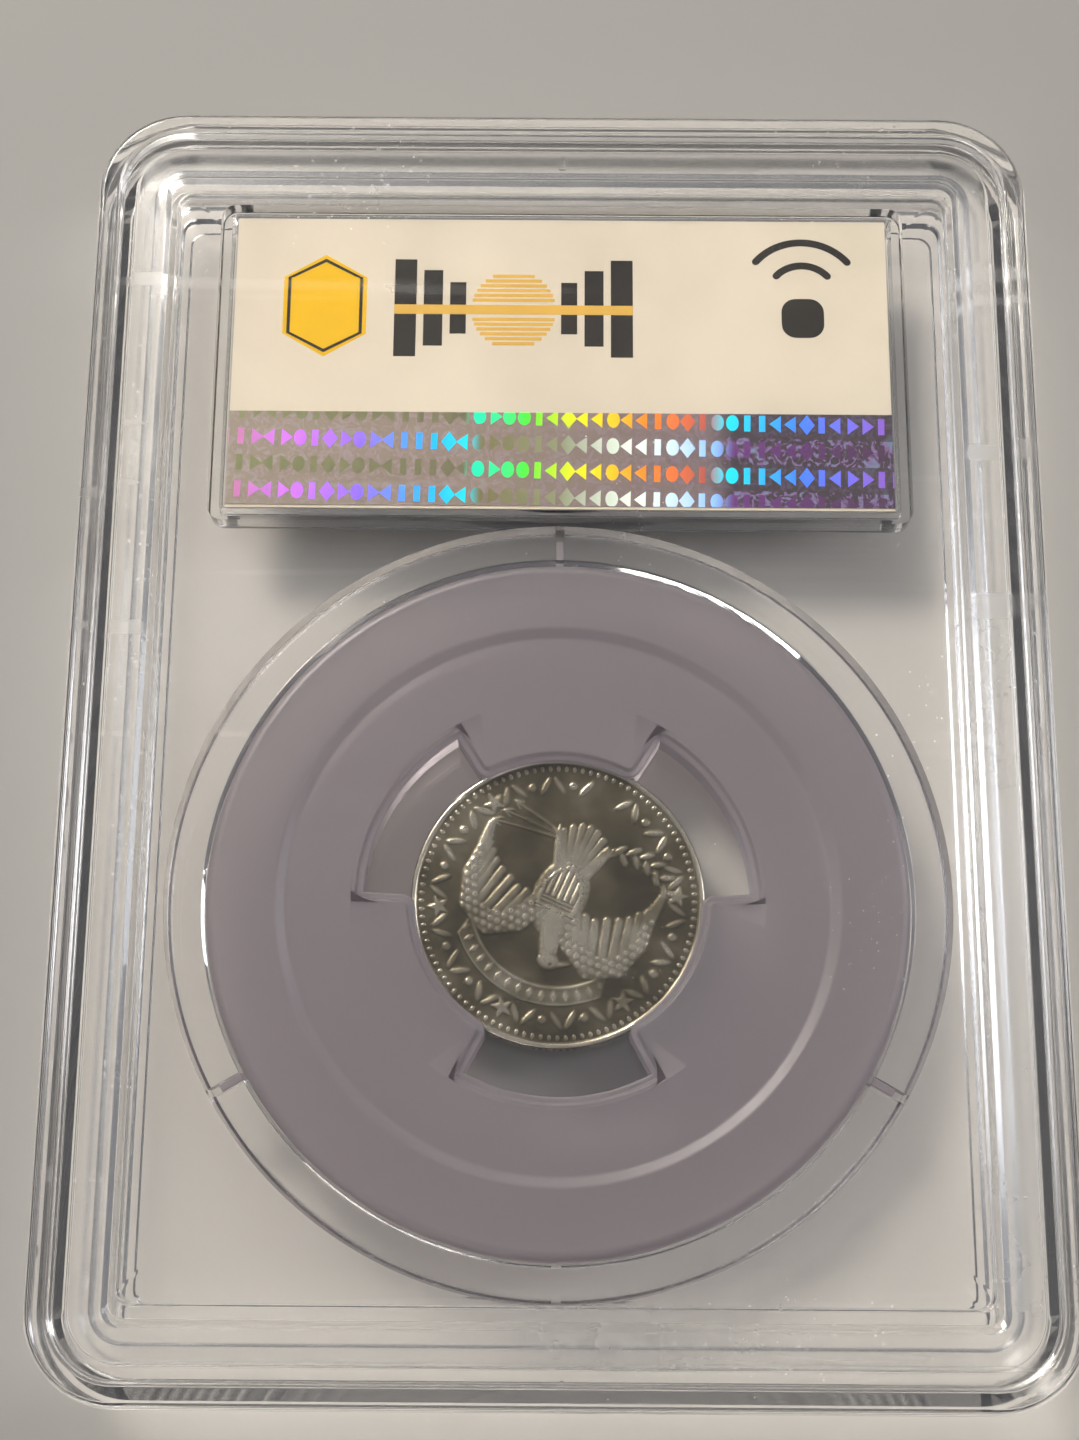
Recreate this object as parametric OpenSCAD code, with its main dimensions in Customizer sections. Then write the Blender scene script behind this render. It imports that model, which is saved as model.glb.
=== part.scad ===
// Graded coin slab: two clear shells, welded round their edge, hold a soft coin holder with
// its coin and a laminated paper label.
// Millimetres. The slab lies on its front face, so +Z is out of the back, and +Y is the label end.

/* [Slab] */
// Width of the slab
slab_w = 63.5; // [54:0.1:77]
// Length of the slab
slab_l = 85.7; // [71:0.1:110]
// Thickness over both rims
slab_t = 8.0; // [6.6:0.001:12]
// Outer corner radius
corner_r = 5.8; // [5:0.1:8]
// Bevel along the outer edge of each rim
edge_bevel = 0.35; // [0.2:0.05:0.6]

/* [Border] */
// Width of the flat rim that the slab rests on
rim_w = 1.6; // [1.2:0.1:2]
// Width of the groove inside the rim
groove_w = 0.9; // [0.6:0.1:1.2]
// Depth of the groove below the rim
groove_drop = 0.8; // [0.4:0.1:1]
// Depth of the raised frame below the rim
frame_drop = 0.35; // [0.2:0.05:0.6]
// Width of the raised frame
frame_w = 2.2; // [1.5:0.1:2.4]
// Depth of the frame's inner step below the rim
step_drop = 0.65; // [0.4:0.05:0.8]
// Border on each long side, from the slab's edge to the panel
side_border = 5.55; // [5.4:0.05:7]
// Border on each short end, from the slab's edge to the panel
end_border = 6.05; // [5.4:0.05:8]
// Corner radius of the panel
panel_corner_r = 1.0; // [0.5:0.1:2]
// Width of the small index rib at the middle of each short end
index_w = 0.4; // [0.2:0.1:1]

/* [Shell walls] */
// Depth of the panel below the rim
panel_drop = 0.95; // [0.8:0.05:1.2]
// Thickness of the panel
panel_t = 1.2; // [0.8:0.1:1.4]
// Width of the solid wall round the edge, where the shells are welded
wall_w = 3.65; // [3.2:0.05:4]
// Thickness of the locating tongue on the front shell
tongue_t = 0.9; // [0.6:0.05:1.1]
// Height of the tongue above the parting plane
tongue_h = 0.8; // [0.5:0.1:1]
// Clearance between the tongue and the back shell's wall
tongue_gap = 0.1; // [0.05:0.01:0.2]

/* [Coin well] */
// Gap between the ring wall and the panel's long edges
ring_side_gap = 1.2; // [0.5:0.1:2]
// Thickness of the ring wall
ring_t = 2.4; // [1.6:0.1:3]
// Draft of the ring wall's outer side, from its root to its tip
ring_draft = 0.3; // [0:0.1:0.5]
// Width of the slots in the ring wall
slot_w = 0.6; // [0.4:0.1:1]
// Depth of the slots from the parting plane
slot_h = 1.15; // [0.8:0.05:1.2]

/* [Coin and holder] */
// Diameter of the coin
coin_d = 18.8; // [14:0.01:24]
// Thickness of the coin over its rims
coin_t = 1.2; // [0.9:0.01:1.5]
// Width of the coin's raised rim
coin_rim_w = 0.7; // [0.4:0.1:1.2]
// Depth of the coin's field below its rim
coin_field_drop = 0.12; // [0.05:0.01:0.2]
// Clearance round the coin's edge and over each of its faces
coin_gap = 0.05; // [0.02:0.01:0.1]
// How far the holder's lips reach over the coin's rim
lip_w = 0.3; // [0.2:0.05:0.5]
// Thickness of each lip
lip_t = 0.4; // [0.3:0.05:0.6]
// Width of the holder's three windows, outside the coin
window_w = 3.0; // [2:0.1:5]
// Width of the thinner ledge round the coin and the windows
window_ledge = 0.5; // [0.2:0.1:0.7]
// Angle that each window spans
window_angle = 56; // [40:1:70]
// Width of the holder's thick rim
holder_rim_w = 4.75; // [3:0.05:6]
// Fillet at the corners of the three prongs
prong_fillet = 0.9; // [0.4:0.1:1.2]
// Clearance round the holder in its ring wall
holder_gap = 0.2; // [0.1:0.05:0.4]
// Clearance over and under the holder
holder_end_gap = 0.1; // [0.05:0.05:0.2]

/* [Label] */
// Thickness of the wall round the label
pocket_t = 0.8; // [0.6:0.1:1.2]
// Gap between the label's wall and the ring wall
pocket_ring_gap = 0.3; // [0.1:0.1:1]
// Gap between the label's wall and the panel's top edge
pocket_end_gap = 0.1; // [0.1:0.1:1]
// Gap between the label's wall and the panel's long edges
pocket_side_gap = 2.7; // [2:0.1:4]
// Space between the label and its wall on each short side
label_side_gap = 0.4; // [0.2:0.05:0.5]
// Space between the label and its wall on each long side
label_end_gap = 0.15; // [0.1:0.05:0.3]
// Thickness of each paper sheet
paper_t = 0.15; // [0.1:0.01:0.3]
// Space between the label and the back panel
label_gap = 0.15; // [0.1:0.05:0.4]
// Clearance between the label's seat and the pocket wall
seat_gap = 0.1; // [0.05:0.05:0.15]
// Height of the hologram strip
strip_h = 6.7; // [4:0.1:6.8]
// White margin under the hologram strip
strip_margin = 0.2; // [0:0.1:0.25]
// Thickness of the hologram strip
strip_t = 0.05; // [0.03:0.01:0.08]

/* [Radio tag] */
// Thickness of the tag's carrier film
film_t = 0.08; // [0.05:0.01:0.15]
// Thickness of the antenna foil
antenna_t = 0.04; // [0.02:0.01:0.08]
// Margin of paper round the antenna
antenna_margin = 1.0; // [0.6:0.1:2]
// Width of the antenna's track
track_w = 0.3; // [0.15:0.05:0.35]
// Distance from one turn of the antenna to the next
track_pitch = 0.5; // [0.4:0.05:0.55]
// Number of turns in the antenna
antenna_turns = 4; // [2:1:4]
// Side of the square chip
chip_w = 0.7; // [0.4:0.1:1]
// Clearance round the chip in the film
chip_gap = 0.05; // [0.02:0.01:0.1]

/* [Hidden] */
$fn = 128;
eps = 0.01;
mid_z = slab_t / 2;
floor_z = panel_drop + panel_t;
ceiling_z = slab_t - floor_z;
panel_w = slab_w - 2 * side_border;
panel_l = slab_l - 2 * end_border;
groove_in = rim_w + groove_w;
frame_in = groove_in + frame_w;
wall_corner_r = corner_r - wall_w;
tongue_w = slab_w - 2 * (wall_w + tongue_gap);
tongue_l = slab_l - 2 * (wall_w + tongue_gap);
tongue_corner_r = wall_corner_r - tongue_gap;

ring_r = panel_w / 2 - ring_side_gap;
well_r = ring_r - ring_t;
well_y = ring_r - panel_l / 2;
prong_angles = [90, 210, 330];
slot_angles = concat(prong_angles, [270]);

coin_r = coin_d / 2;
seat_r = coin_r + coin_gap;
lip_r = coin_r - lip_w;
window_r = coin_r + window_w;
holder_r = well_r - holder_gap;
holder_step_r = holder_r - holder_rim_w;
holder_t = ceiling_z - floor_z - 2 * holder_end_gap;
prong_t = coin_t + 2 * (coin_gap + lip_t);
web_t = (holder_t + prong_t) / 2;
lug_w = slot_w - 0.1;
lug_rise = 0.1;
lug_h = slot_h - 2 * lug_rise;
lug_root = 0.5;
lug_reach = 2.2;

pocket_w = panel_w - 2 * pocket_side_gap;
pocket_top = panel_l / 2 - pocket_end_gap;
pocket_bottom = well_y + ring_r + pocket_ring_gap;
pocket_l = pocket_top - pocket_bottom;
pocket_y = (pocket_top + pocket_bottom) / 2;
pocket_corner_r = 1.0;
seat_w = pocket_w - 2 * (pocket_t + seat_gap);
seat_l = pocket_l - 2 * (pocket_t + seat_gap);
label_w = pocket_w - 2 * (pocket_t + label_side_gap);
label_l = pocket_l - 2 * (pocket_t + label_end_gap);
label_t = 2 * paper_t + film_t + antenna_t;
seat_z = ceiling_z - label_gap - label_t;
film_z = seat_z + paper_t;
antenna_z = film_z + film_t;
back_sheet_z = antenna_z + antenna_t;
strip_z = back_sheet_z + paper_t;

antenna_w = label_w - 2 * antenna_margin;
antenna_l = label_l - 2 * antenna_margin;
chip_x = turn_x(antenna_turns);
chip_y = pocket_y + turn_y(antenna_turns - 1) + chip_w / 2 - track_w / 2;

// The left and lower sides of the antenna's turn number i, from the antenna's centre
function turn_x(i) = -antenna_w / 2 + track_w / 2 + i * track_pitch;
function turn_y(i) = -antenna_l / 2 + track_w / 2 + i * track_pitch;

// A rectangle with round corners, centred
module round_rect(w, l, r) {
    square([w - 2 * r, l], center = true);
    square([w, l - 2 * r], center = true);
    for (x = [-1, 1], y = [-1, 1])
        translate([x * (w / 2 - r), y * (l / 2 - r)])
            circle(r);
}

// The slab's outline, moved in by inset
module slab_outline(inset) {
    corner = max(corner_r - inset, panel_corner_r);
    round_rect(slab_w - 2 * inset, slab_l - 2 * inset, corner);
}

// A plate of the given outline between two heights
module plate(z0, z1) {
    translate([0, 0, z0])
        linear_extrude(z1 - z0)
            children();
}

// One half of the slab with its rim's face at z = 0, before the inside is cut
module half_block() {
    edge_w = slab_w - 2 * corner_r;
    edge_l = slab_l - 2 * corner_r;
    plate(edge_bevel, mid_z)
        slab_outline(0);
    for (x = [-1, 1], y = [-1, 1])
        translate([x * edge_w / 2, y * edge_l / 2, 0])
            cylinder(h = edge_bevel, r1 = corner_r - edge_bevel, r2 = corner_r);
    rotate([90, 0, 0])
        linear_extrude(edge_l, center = true)
            bevel_section(slab_w);
    rotate([90, 0, 90])
        linear_extrude(edge_w, center = true)
            bevel_section(slab_l);
}

// The section of the bevelled layer across a slab of width w
module bevel_section(w) {
    polygon([
        [-w / 2 + edge_bevel, 0],
        [w / 2 - edge_bevel, 0],
        [w / 2, edge_bevel],
        [-w / 2, edge_bevel]
    ]);
}

// The stepped border and the panel, cut into the rim's face
module border_cut() {
    plate(-eps, frame_drop)
        slab_outline(rim_w);
    plate(-eps, groove_drop)
        difference() {
            slab_outline(rim_w);
            slab_outline(groove_in);
        }
    plate(-eps, step_drop)
        slab_outline(frame_in);
    plate(-eps, panel_drop)
        round_rect(panel_w, panel_l, panel_corner_r);
}

// One plain shell: rim and border, solid edge wall, and an open cavity from the parting plane
module plain_shell() {
    difference() {
        half_block();
        border_cut();
        plate(floor_z, mid_z + eps)
            round_rect(slab_w - 2 * wall_w, slab_l - 2 * wall_w, wall_corner_r);
    }
    for (side = [-1, 1])
        translate([0, side * (slab_l / 2 - groove_in - frame_w / 2), frame_drop])
            cube([index_w, frame_w / 2, frame_drop], center = true);
}

// The ring wall of the coin well, from the panel to the parting plane
module ring_wall() {
    translate([0, well_y, 0])
        rotate_extrude()
            polygon([
                [well_r, floor_z - eps],
                [ring_r, floor_z - eps],
                [ring_r - ring_draft, mid_z],
                [well_r, mid_z]
            ]);
}

// The four slots in the ring wall's tip
module ring_slots() {
    for (a = slot_angles)
        translate([0, well_y, mid_z - slot_h])
            rotate([0, 0, a])
                translate([well_r - 1, -slot_w / 2, 0])
                    cube([ring_t + 2, slot_w, slot_h + eps]);
}

// A rectangular wall round the label's place, from the panel to the height z1
module label_wall(w, l, t, r, z1) {
    translate([0, pocket_y, 0])
        plate(floor_z - eps, z1)
            difference() {
                round_rect(w, l, r);
                square([w - 2 * t, l - 2 * t], center = true);
            }
}

// Front shell, face down: carries the tongue, the lower ring wall and the label's seat
module front_shell() {
    color([0.86, 0.84, 0.84, 0.35]) {
        plain_shell();
        ring_wall();
        label_wall(seat_w, seat_l, pocket_t, pocket_corner_r / 2, seat_z);
        plate(floor_z - eps, mid_z + tongue_h)
            difference() {
                round_rect(tongue_w, tongue_l, tongue_corner_r);
                round_rect(
                    tongue_w - 2 * tongue_t, tongue_l - 2 * tongue_t, tongue_corner_r - tongue_t
                );
            }
    }
}

// Back shell: the same block turned over, with the slotted ring wall and the label's pocket
module back_shell() {
    color([0.9, 0.88, 0.88, 0.35])
        translate([0, 0, slab_t])
            mirror([0, 0, 1]) {
                plain_shell();
                difference() {
                    ring_wall();
                    ring_slots();
                }
                label_wall(pocket_w, pocket_l, pocket_t, pocket_corner_r, mid_z);
            }
}

// The corner that a fillet takes off one side of a prong, at the angle a, in an opening that is
// grown all round
module prong_corner(a, side, grow) {
    centre_r = lip_r + 0.9 * prong_fillet;
    turn = side * asin(prong_fillet / centre_r);
    tangent_r = sqrt(centre_r * centre_r - prong_fillet * prong_fillet);
    inner_r = lip_r - 1;
    overlap_a = a - side * 3;
    across = side * grow * [-sin(a), cos(a)];
    centre = centre_r * [cos(a + turn), sin(a + turn)];
    difference() {
        polygon([
            inner_r * [cos(overlap_a), sin(overlap_a)],
            tangent_r * [cos(overlap_a), sin(overlap_a)],
            tangent_r * [cos(a), sin(a)] + across,
            centre,
            inner_r * [cos(a + turn), sin(a + turn)]
        ]);
        translate(centre)
            circle(max(prong_fillet - 0.95 * grow, 0.1));
    }
}

// One wedge window between two prongs, with the prongs' corners taken off
module holder_window(middle, grow = 0) {
    half = window_angle / 2;
    reach = 2 * window_r;
    tip = -grow / sin(half) * [cos(middle), sin(middle)];
    intersection() {
        circle(window_r + grow);
        polygon([
            tip,
            tip + reach * [cos(middle - half), sin(middle - half)],
            tip + reach * [cos(middle + half), sin(middle + half)]
        ]);
    }
    prong_corner(middle + half, 1, grow);
    prong_corner(middle - half, -1, grow);
}

// The holder's section: lips, groove for the coin, ledge, web and rim, on both sides
module holder_section() {
    groove = coin_t / 2 + coin_gap;
    upper = [
        [seat_r, groove],
        [lip_r, groove],
        [lip_r, prong_t / 2],
        [lip_r + window_ledge, prong_t / 2],
        [lip_r + window_ledge, web_t / 2],
        [holder_step_r, web_t / 2],
        [holder_step_r, holder_t / 2],
        [holder_r, holder_t / 2]
    ];
    lower = [for (i = [len(upper) - 1 : -1 : 0]) [upper[i].x, -upper[i].y]];
    polygon(concat(upper, lower));
}

// Coin holder: a soft clear disc with stepped faces, three prongs and three locating lugs
module coin_holder() {
    color([0.62, 0.6, 0.66, 0.6])
        translate([0, well_y, mid_z]) {
            difference() {
                rotate([0, 0, window_angle / 2])
                    rotate_extrude()
                        holder_section();
                for (a = prong_angles) {
                    linear_extrude(slab_t, center = true)
                        holder_window(a + 180);
                    for (z = [prong_t / 2, -prong_t / 2 - holder_t])
                        translate([0, 0, z])
                            linear_extrude(holder_t)
                                holder_window(a + 180, window_ledge);
                }
            }
            for (a = prong_angles)
                rotate([0, 0, a])
                    translate([holder_r - lug_root, -lug_w / 2, lug_rise])
                        cube([lug_reach, lug_w, lug_h]);
        }
}

// Coin: a plain blank with a raised rim on each face
module coin() {
    rim_r = coin_r - coin_rim_w;
    half = coin_t / 2;
    field = half - coin_field_drop;
    color([0.42, 0.4, 0.36])
        translate([0, well_y, mid_z])
            rotate_extrude()
                polygon([
                    [0, -field],
                    [rim_r - coin_field_drop, -field],
                    [rim_r, -half],
                    [coin_r, -half],
                    [coin_r, half],
                    [rim_r, half],
                    [rim_r - coin_field_drop, field],
                    [0, field]
                ]);
}

// A flat sheet of the label's size with its underside at the height z
module label_sheet(z, t) {
    translate([0, pocket_y, z + t / 2])
        cube([label_w, label_l, t], center = true);
}

// Label's front sheet, the lower one
module label_front_sheet() {
    color([0.93, 0.9, 0.84])
        label_sheet(seat_z, paper_t);
}

// Carrier film of the radio tag, with a hole for its chip
module tag_film() {
    hole = chip_w + 2 * chip_gap;
    color([0.85, 0.9, 0.92, 0.6])
        difference() {
            label_sheet(film_z, film_t);
            translate([chip_x, chip_y, film_z + film_t / 2])
                cube([hole, hole, 2 * film_t], center = true);
        }
}

// One straight run of the antenna's track between two points
module track(a, b) {
    low = [min(a.x, b.x), min(a.y, b.y)];
    high = [max(a.x, b.x), max(a.y, b.y)];
    translate(low - [track_w, track_w] / 2)
        square(high - low + [track_w, track_w]);
}

// Antenna of the radio tag: a rectangular spiral of foil that ends over the chip
module tag_antenna() {
    color([0.78, 0.5, 0.32])
        translate([0, pocket_y, antenna_z])
            linear_extrude(antenna_t)
                for (i = [0 : antenna_turns - 1]) {
                    left = turn_x(i);
                    low = turn_y(i);
                    track([left, turn_y(max(i - 1, 0))], [left, -low]);
                    track([left, -low], [-left, -low]);
                    track([-left, -low], [-left, low]);
                    track([-left, low], [turn_x(i + 1), low]);
                }
}

// Chip of the radio tag, in the film's hole
module tag_chip() {
    color([0.2, 0.2, 0.22])
        translate([chip_x, chip_y, film_z + film_t / 2])
            cube([chip_w, chip_w, film_t], center = true);
}

// Label's back sheet, the upper one, which carries the printed marks
module label_back_sheet() {
    color([0.93, 0.9, 0.84])
        label_sheet(back_sheet_z, paper_t);
}

// Hologram strip along the lower edge of the label's back sheet
module hologram_strip() {
    low_y = pocket_y - label_l / 2 + strip_margin;
    color([0.5, 0.44, 0.42])
        translate([-label_w / 2, low_y, strip_z])
            cube([label_w, strip_h, strip_t]);
}

front_shell();
back_shell();
coin_holder();
coin();
label_front_sheet();
tag_film();
tag_antenna();
tag_chip();
label_back_sheet();
hologram_strip();
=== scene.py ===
import math

import bmesh
import bpy
import numpy as np
from mathutils import Euler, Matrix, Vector


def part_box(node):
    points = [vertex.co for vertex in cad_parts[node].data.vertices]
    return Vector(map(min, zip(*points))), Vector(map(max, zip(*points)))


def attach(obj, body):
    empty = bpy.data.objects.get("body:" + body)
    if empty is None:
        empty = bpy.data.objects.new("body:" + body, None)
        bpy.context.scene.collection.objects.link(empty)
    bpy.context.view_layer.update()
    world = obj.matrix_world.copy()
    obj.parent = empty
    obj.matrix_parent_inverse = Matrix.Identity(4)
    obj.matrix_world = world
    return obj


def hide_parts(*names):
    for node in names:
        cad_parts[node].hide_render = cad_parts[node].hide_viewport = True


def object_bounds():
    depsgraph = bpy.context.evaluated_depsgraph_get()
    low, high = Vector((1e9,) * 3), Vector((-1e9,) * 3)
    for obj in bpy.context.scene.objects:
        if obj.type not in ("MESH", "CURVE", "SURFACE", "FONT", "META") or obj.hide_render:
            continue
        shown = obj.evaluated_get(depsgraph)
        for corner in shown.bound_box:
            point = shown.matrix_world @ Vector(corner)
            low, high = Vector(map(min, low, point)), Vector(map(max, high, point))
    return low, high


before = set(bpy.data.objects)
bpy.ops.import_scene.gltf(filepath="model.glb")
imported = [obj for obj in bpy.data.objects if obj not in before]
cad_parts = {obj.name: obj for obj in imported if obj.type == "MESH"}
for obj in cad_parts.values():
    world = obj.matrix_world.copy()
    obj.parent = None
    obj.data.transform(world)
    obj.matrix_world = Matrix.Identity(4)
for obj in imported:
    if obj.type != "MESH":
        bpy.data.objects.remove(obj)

# A graded coin slab that lies on its front face: +Z is out of its back and +Y is its label end.
# Shapes are worked out in millimetres, and MM turns them into the frame's metres.
MM = 0.001
cad_low, cad_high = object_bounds()
scene = bpy.context.scene


def box_mm(node):
    """The low and high corners of a node's box, in millimetres."""
    low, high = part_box(node)
    return low / MM, high / MM


SLAB_HIGH = cad_high / MM
HALF_W, HALF_L, SLAB_T = SLAB_HIGH.x, SLAB_HIGH.y, SLAB_HIGH.z
PARTING_Z = SLAB_T / 2
HOLDER_LOW, HOLDER_HIGH = box_mm("coin_holder")
COIN_LOW, COIN_HIGH = box_mm("coin")
COIN_CENTRE = (COIN_LOW + COIN_HIGH) / 2
COIN_R = (COIN_HIGH.x - COIN_LOW.x) / 2
WELL_Y = COIN_CENTRE.y
LABEL_LOW, LABEL_HIGH = box_mm("label_back_sheet")
LABEL_FACE_Z = LABEL_HIGH.z
FRONT_SHEET_LOW, FRONT_SHEET_HIGH = box_mm("label_front_sheet")
STRIP_LOW, STRIP_HIGH = box_mm("hologram_strip")

# Border of each shell: distance in from the slab's edge, and depth below the rim
CORNER_R = 5.8
RIM_W = 1.6
GROOVE_IN = 2.5
GROOVE_DROP = 0.8
FRAME_IN = 4.7
FRAME_DROP = 0.35
STEP_DROP = 0.65
PANEL_IN = 5.55
PANEL_END_EXTRA = 0.5
PANEL_CORNER_R = 1.0
PANEL_DROP = 0.95
PANEL_T = 1.2
WALL_IN = 3.65
TONGUE_GAP = 0.1
TONGUE_T = 0.9
TONGUE_H = 0.8
FLOOR_DEPTH = PANEL_DROP + PANEL_T
ROOT = 0.3  # how far a wall's root is sunk into the panel it grows from
WELD_GAP = 0.01  # what is left between the two shells' faces

# Coin well, holder and label walls
RING_SIDE_GAP = 1.2
RING_R = HALF_W - PANEL_IN - RING_SIDE_GAP
RING_T = 2.4
RING_DRAFT = 0.3
SLOT_W = 0.6
SLOT_H = 1.15
PRONG_ANGLES = (90, 210, 330)
HOLDER_R = (HOLDER_HIGH.x - HOLDER_LOW.x) / 2
HOLDER_T = HOLDER_HIGH.z - HOLDER_LOW.z
WINDOW_W = 3.0
WINDOW_R = COIN_R + WINDOW_W
WINDOW_ANGLE = 56
WINDOW_LEDGE = 0.5
HOLDER_RIM_W = 4.75
PRONG_GRIP = 0.3
PRONG_LIP_T = 0.4
PRONG_FILLET = 0.9
COIN_GAP = 0.05
LIP_R = COIN_R - PRONG_GRIP
SEAT_R = COIN_R + COIN_GAP
LUG_REACH = 1.7
LUG_HALF_W = 0.25
POCKET_SIDE = 2.7
POCKET_T = 0.8
LABEL_END_GAP = 0.15


# ---------------------------------------------------------------- meshes

def new_piece(name, points, faces):
    """A mesh object from points in millimetres, its faces turned outwards."""
    mesh = bpy.data.meshes.new(name)
    mesh.from_pydata([tuple(p) for p in np.asarray(points, float) * MM], [], faces)
    mesh.validate()
    work = bmesh.new()
    work.from_mesh(mesh)
    bmesh.ops.remove_doubles(work, verts=work.verts, dist=0.0005 * MM)
    bmesh.ops.recalc_face_normals(work, faces=work.faces)
    work.to_mesh(mesh)
    work.free()
    piece = bpy.data.objects.new(name, mesh)
    scene.collection.objects.link(piece)
    return piece


def applied(piece, *modifiers):
    """The piece with these modifiers, each a (type, settings) pair, made part of its mesh."""
    for kind, settings in modifiers:
        modifier = piece.modifiers.new(kind, kind)
        for key, value in settings.items():
            setattr(modifier, key, value)
    view = bpy.context.evaluated_depsgraph_get()
    mesh = bpy.data.meshes.new_from_object(piece.evaluated_get(view), depsgraph=view)
    piece.modifiers.clear()
    piece.data = mesh
    return piece


def fused(base, *others, cut=()):
    """One closed solid: the base with the others joined on and the cutters taken away."""
    steps = [("BOOLEAN", {"operation": "UNION", "object": o, "solver": "EXACT"}) for o in others]
    steps += [("BOOLEAN", {"operation": "DIFFERENCE", "object": o, "solver": "EXACT"}) for o in cut]
    applied(base, *steps)
    for spent in (*others, *cut):
        bpy.data.objects.remove(spent)
    return base


def smoothed(piece, angle=35):
    """Soft shading over fillets, with flat faces left flat and edges past the angle left sharp."""
    mesh = piece.data
    mesh.shade_smooth()
    mesh.set_sharp_from_angle(angle=math.radians(angle))
    return applied(piece, ("WEIGHTED_NORMAL", {"keep_sharp": True, "weight": 80}))


def round_rect(half_w, half_l, radius, steps=12):
    """Points round a rectangle with round corners, anticlockwise."""
    points = []
    corners = ((1, 1, 0), (-1, 1, 90), (-1, -1, 180), (1, -1, 270))
    for x_side, y_side, start in corners:
        for step in range(steps + 1):
            turn = math.radians(start + 90 * step / steps)
            x = x_side * (half_w - radius) + radius * math.cos(turn)
            y = y_side * (half_l - radius) + radius * math.sin(turn)
            points.append((x, y))
    return points


def circle(radius, count, centre=(0, 0)):
    """Points evenly round a circle, anticlockwise."""
    turns = [2 * math.pi * i / count for i in range(count)]
    return [(centre[0] + radius * math.cos(t), centre[1] + radius * math.sin(t)) for t in turns]


def filleted(path, steps=5):
    """A path of (across, height, fillet radius) corners as plain points with round corners."""
    points = []
    for i, (x, z, radius) in enumerate(path):
        here = Vector((x, z))
        if radius == 0 or i in (0, len(path) - 1):
            points.append((x, z))
            continue
        before = Vector(path[i - 1][:2]) - here
        after = Vector(path[i + 1][:2]) - here
        bend = before.angle(after)
        reach = min(radius / math.tan(bend / 2), 0.49 * before.length, 0.49 * after.length)
        radius = reach * math.tan(bend / 2)
        start, end = here + before.normalized() * reach, here + after.normalized() * reach
        middle = (before.normalized() + after.normalized()).normalized()
        centre = here + middle * (radius / math.sin(bend / 2))
        for step in range(steps + 1):
            spoke = (start - centre).slerp(end - centre, step / steps)
            points.append(tuple(centre + radius * spoke))
    return points


def loft(name, rings, closed=False):
    """A solid through rings of equal length; an open stack is closed by its end rings."""
    count = len(rings[0])
    points = [p for ring in rings for p in ring]
    faces = []
    for level in range(len(rings) if closed else len(rings) - 1):
        low, high = level * count, (level + 1) % len(rings) * count
        for i in range(count):
            j = (i + 1) % count
            faces.append((low + i, low + j, high + j, high + i))
    if not closed:
        faces.append(tuple(range(count)))
        faces.append(tuple(range(len(points) - count, len(points))))
    return new_piece(name, points, faces)


def rounded_block(name, low, high, fillet):
    """A small block between two corners with its upright edges and its rims rounded."""
    half_w, half_l = (high[0] - low[0]) / 2, (high[1] - low[1]) / 2
    x, y = (high[0] + low[0]) / 2, (high[1] + low[1]) / 2
    section = filleted([
        (fillet * 1.5, low[2], 0), (0, low[2], fillet), (0, high[2], fillet),
        (fillet * 1.5, high[2], 0),
    ], 3)
    rings = []
    for inset, z in section:
        radius = max(fillet * 1.6 - inset, fillet * 0.1)
        ring = round_rect(half_w - inset, half_l - inset, radius, 3)
        rings.append([(x + a, y + b, z) for a, b in ring])
    return loft(name, rings)


# ---------------------------------------------------------------- node helpers

def node_maker(tree):
    """Returns a function that adds a node to the tree, with its settings, inputs and links.

    A node given as an input stands for the first of its outputs that is in use.
    """
    def add(kind, settings=None, **inputs):
        node = tree.nodes.new(kind)
        for key, value in (settings or {}).items():
            setattr(node, key, value)
        for key, value in inputs.items():
            name = key.replace("_", " ")
            socket = node.inputs[int(key[1:])] if key[1:].isdigit() else node.inputs[name]
            if isinstance(value, bpy.types.Node):
                value = next(output for output in value.outputs if output.enabled)
            if isinstance(value, bpy.types.NodeSocket):
                tree.links.new(value, socket)
            else:
                socket.default_value = value
        return node
    return add


def maths(add, operation, *values, **settings):
    """A math node over the values, in their order."""
    inputs = {f"i{i}": value for i, value in enumerate(values)}
    return add("ShaderNodeMath", {"operation": operation, **settings}, **inputs)


def remap(add, value, low=0.0, high=1.0, to_low=0.0, to_high=1.0, **settings):
    """A node that carries the span from low to high over to the span from to_low to to_high."""
    return add("ShaderNodeMapRange", settings, Value=value, From_Min=low, From_Max=high,
               To_Min=to_low, To_Max=to_high)


def shader_group(name, inputs, outputs):
    """An empty shader group with named float inputs and outputs; returns (group, in, out)."""
    group = bpy.data.node_groups.new(name, "ShaderNodeTree")
    for title, value in inputs.items():
        socket = group.interface.new_socket(title, in_out="INPUT", socket_type="NodeSocketFloat")
        socket.default_value = value
    for title in outputs:
        group.interface.new_socket(title, in_out="OUTPUT", socket_type="NodeSocketFloat")
    entry = group.nodes.new("NodeGroupInput")
    leave = group.nodes.new("NodeGroupOutput")
    return group, entry, leave


def placed_group(add, group, **values):
    """A group placed in a material, with its own values."""
    node = add("ShaderNodeGroup", {"node_tree": group})
    for title, value in values.items():
        node.inputs[title.replace("_", " ")].default_value = value
    return node


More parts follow.
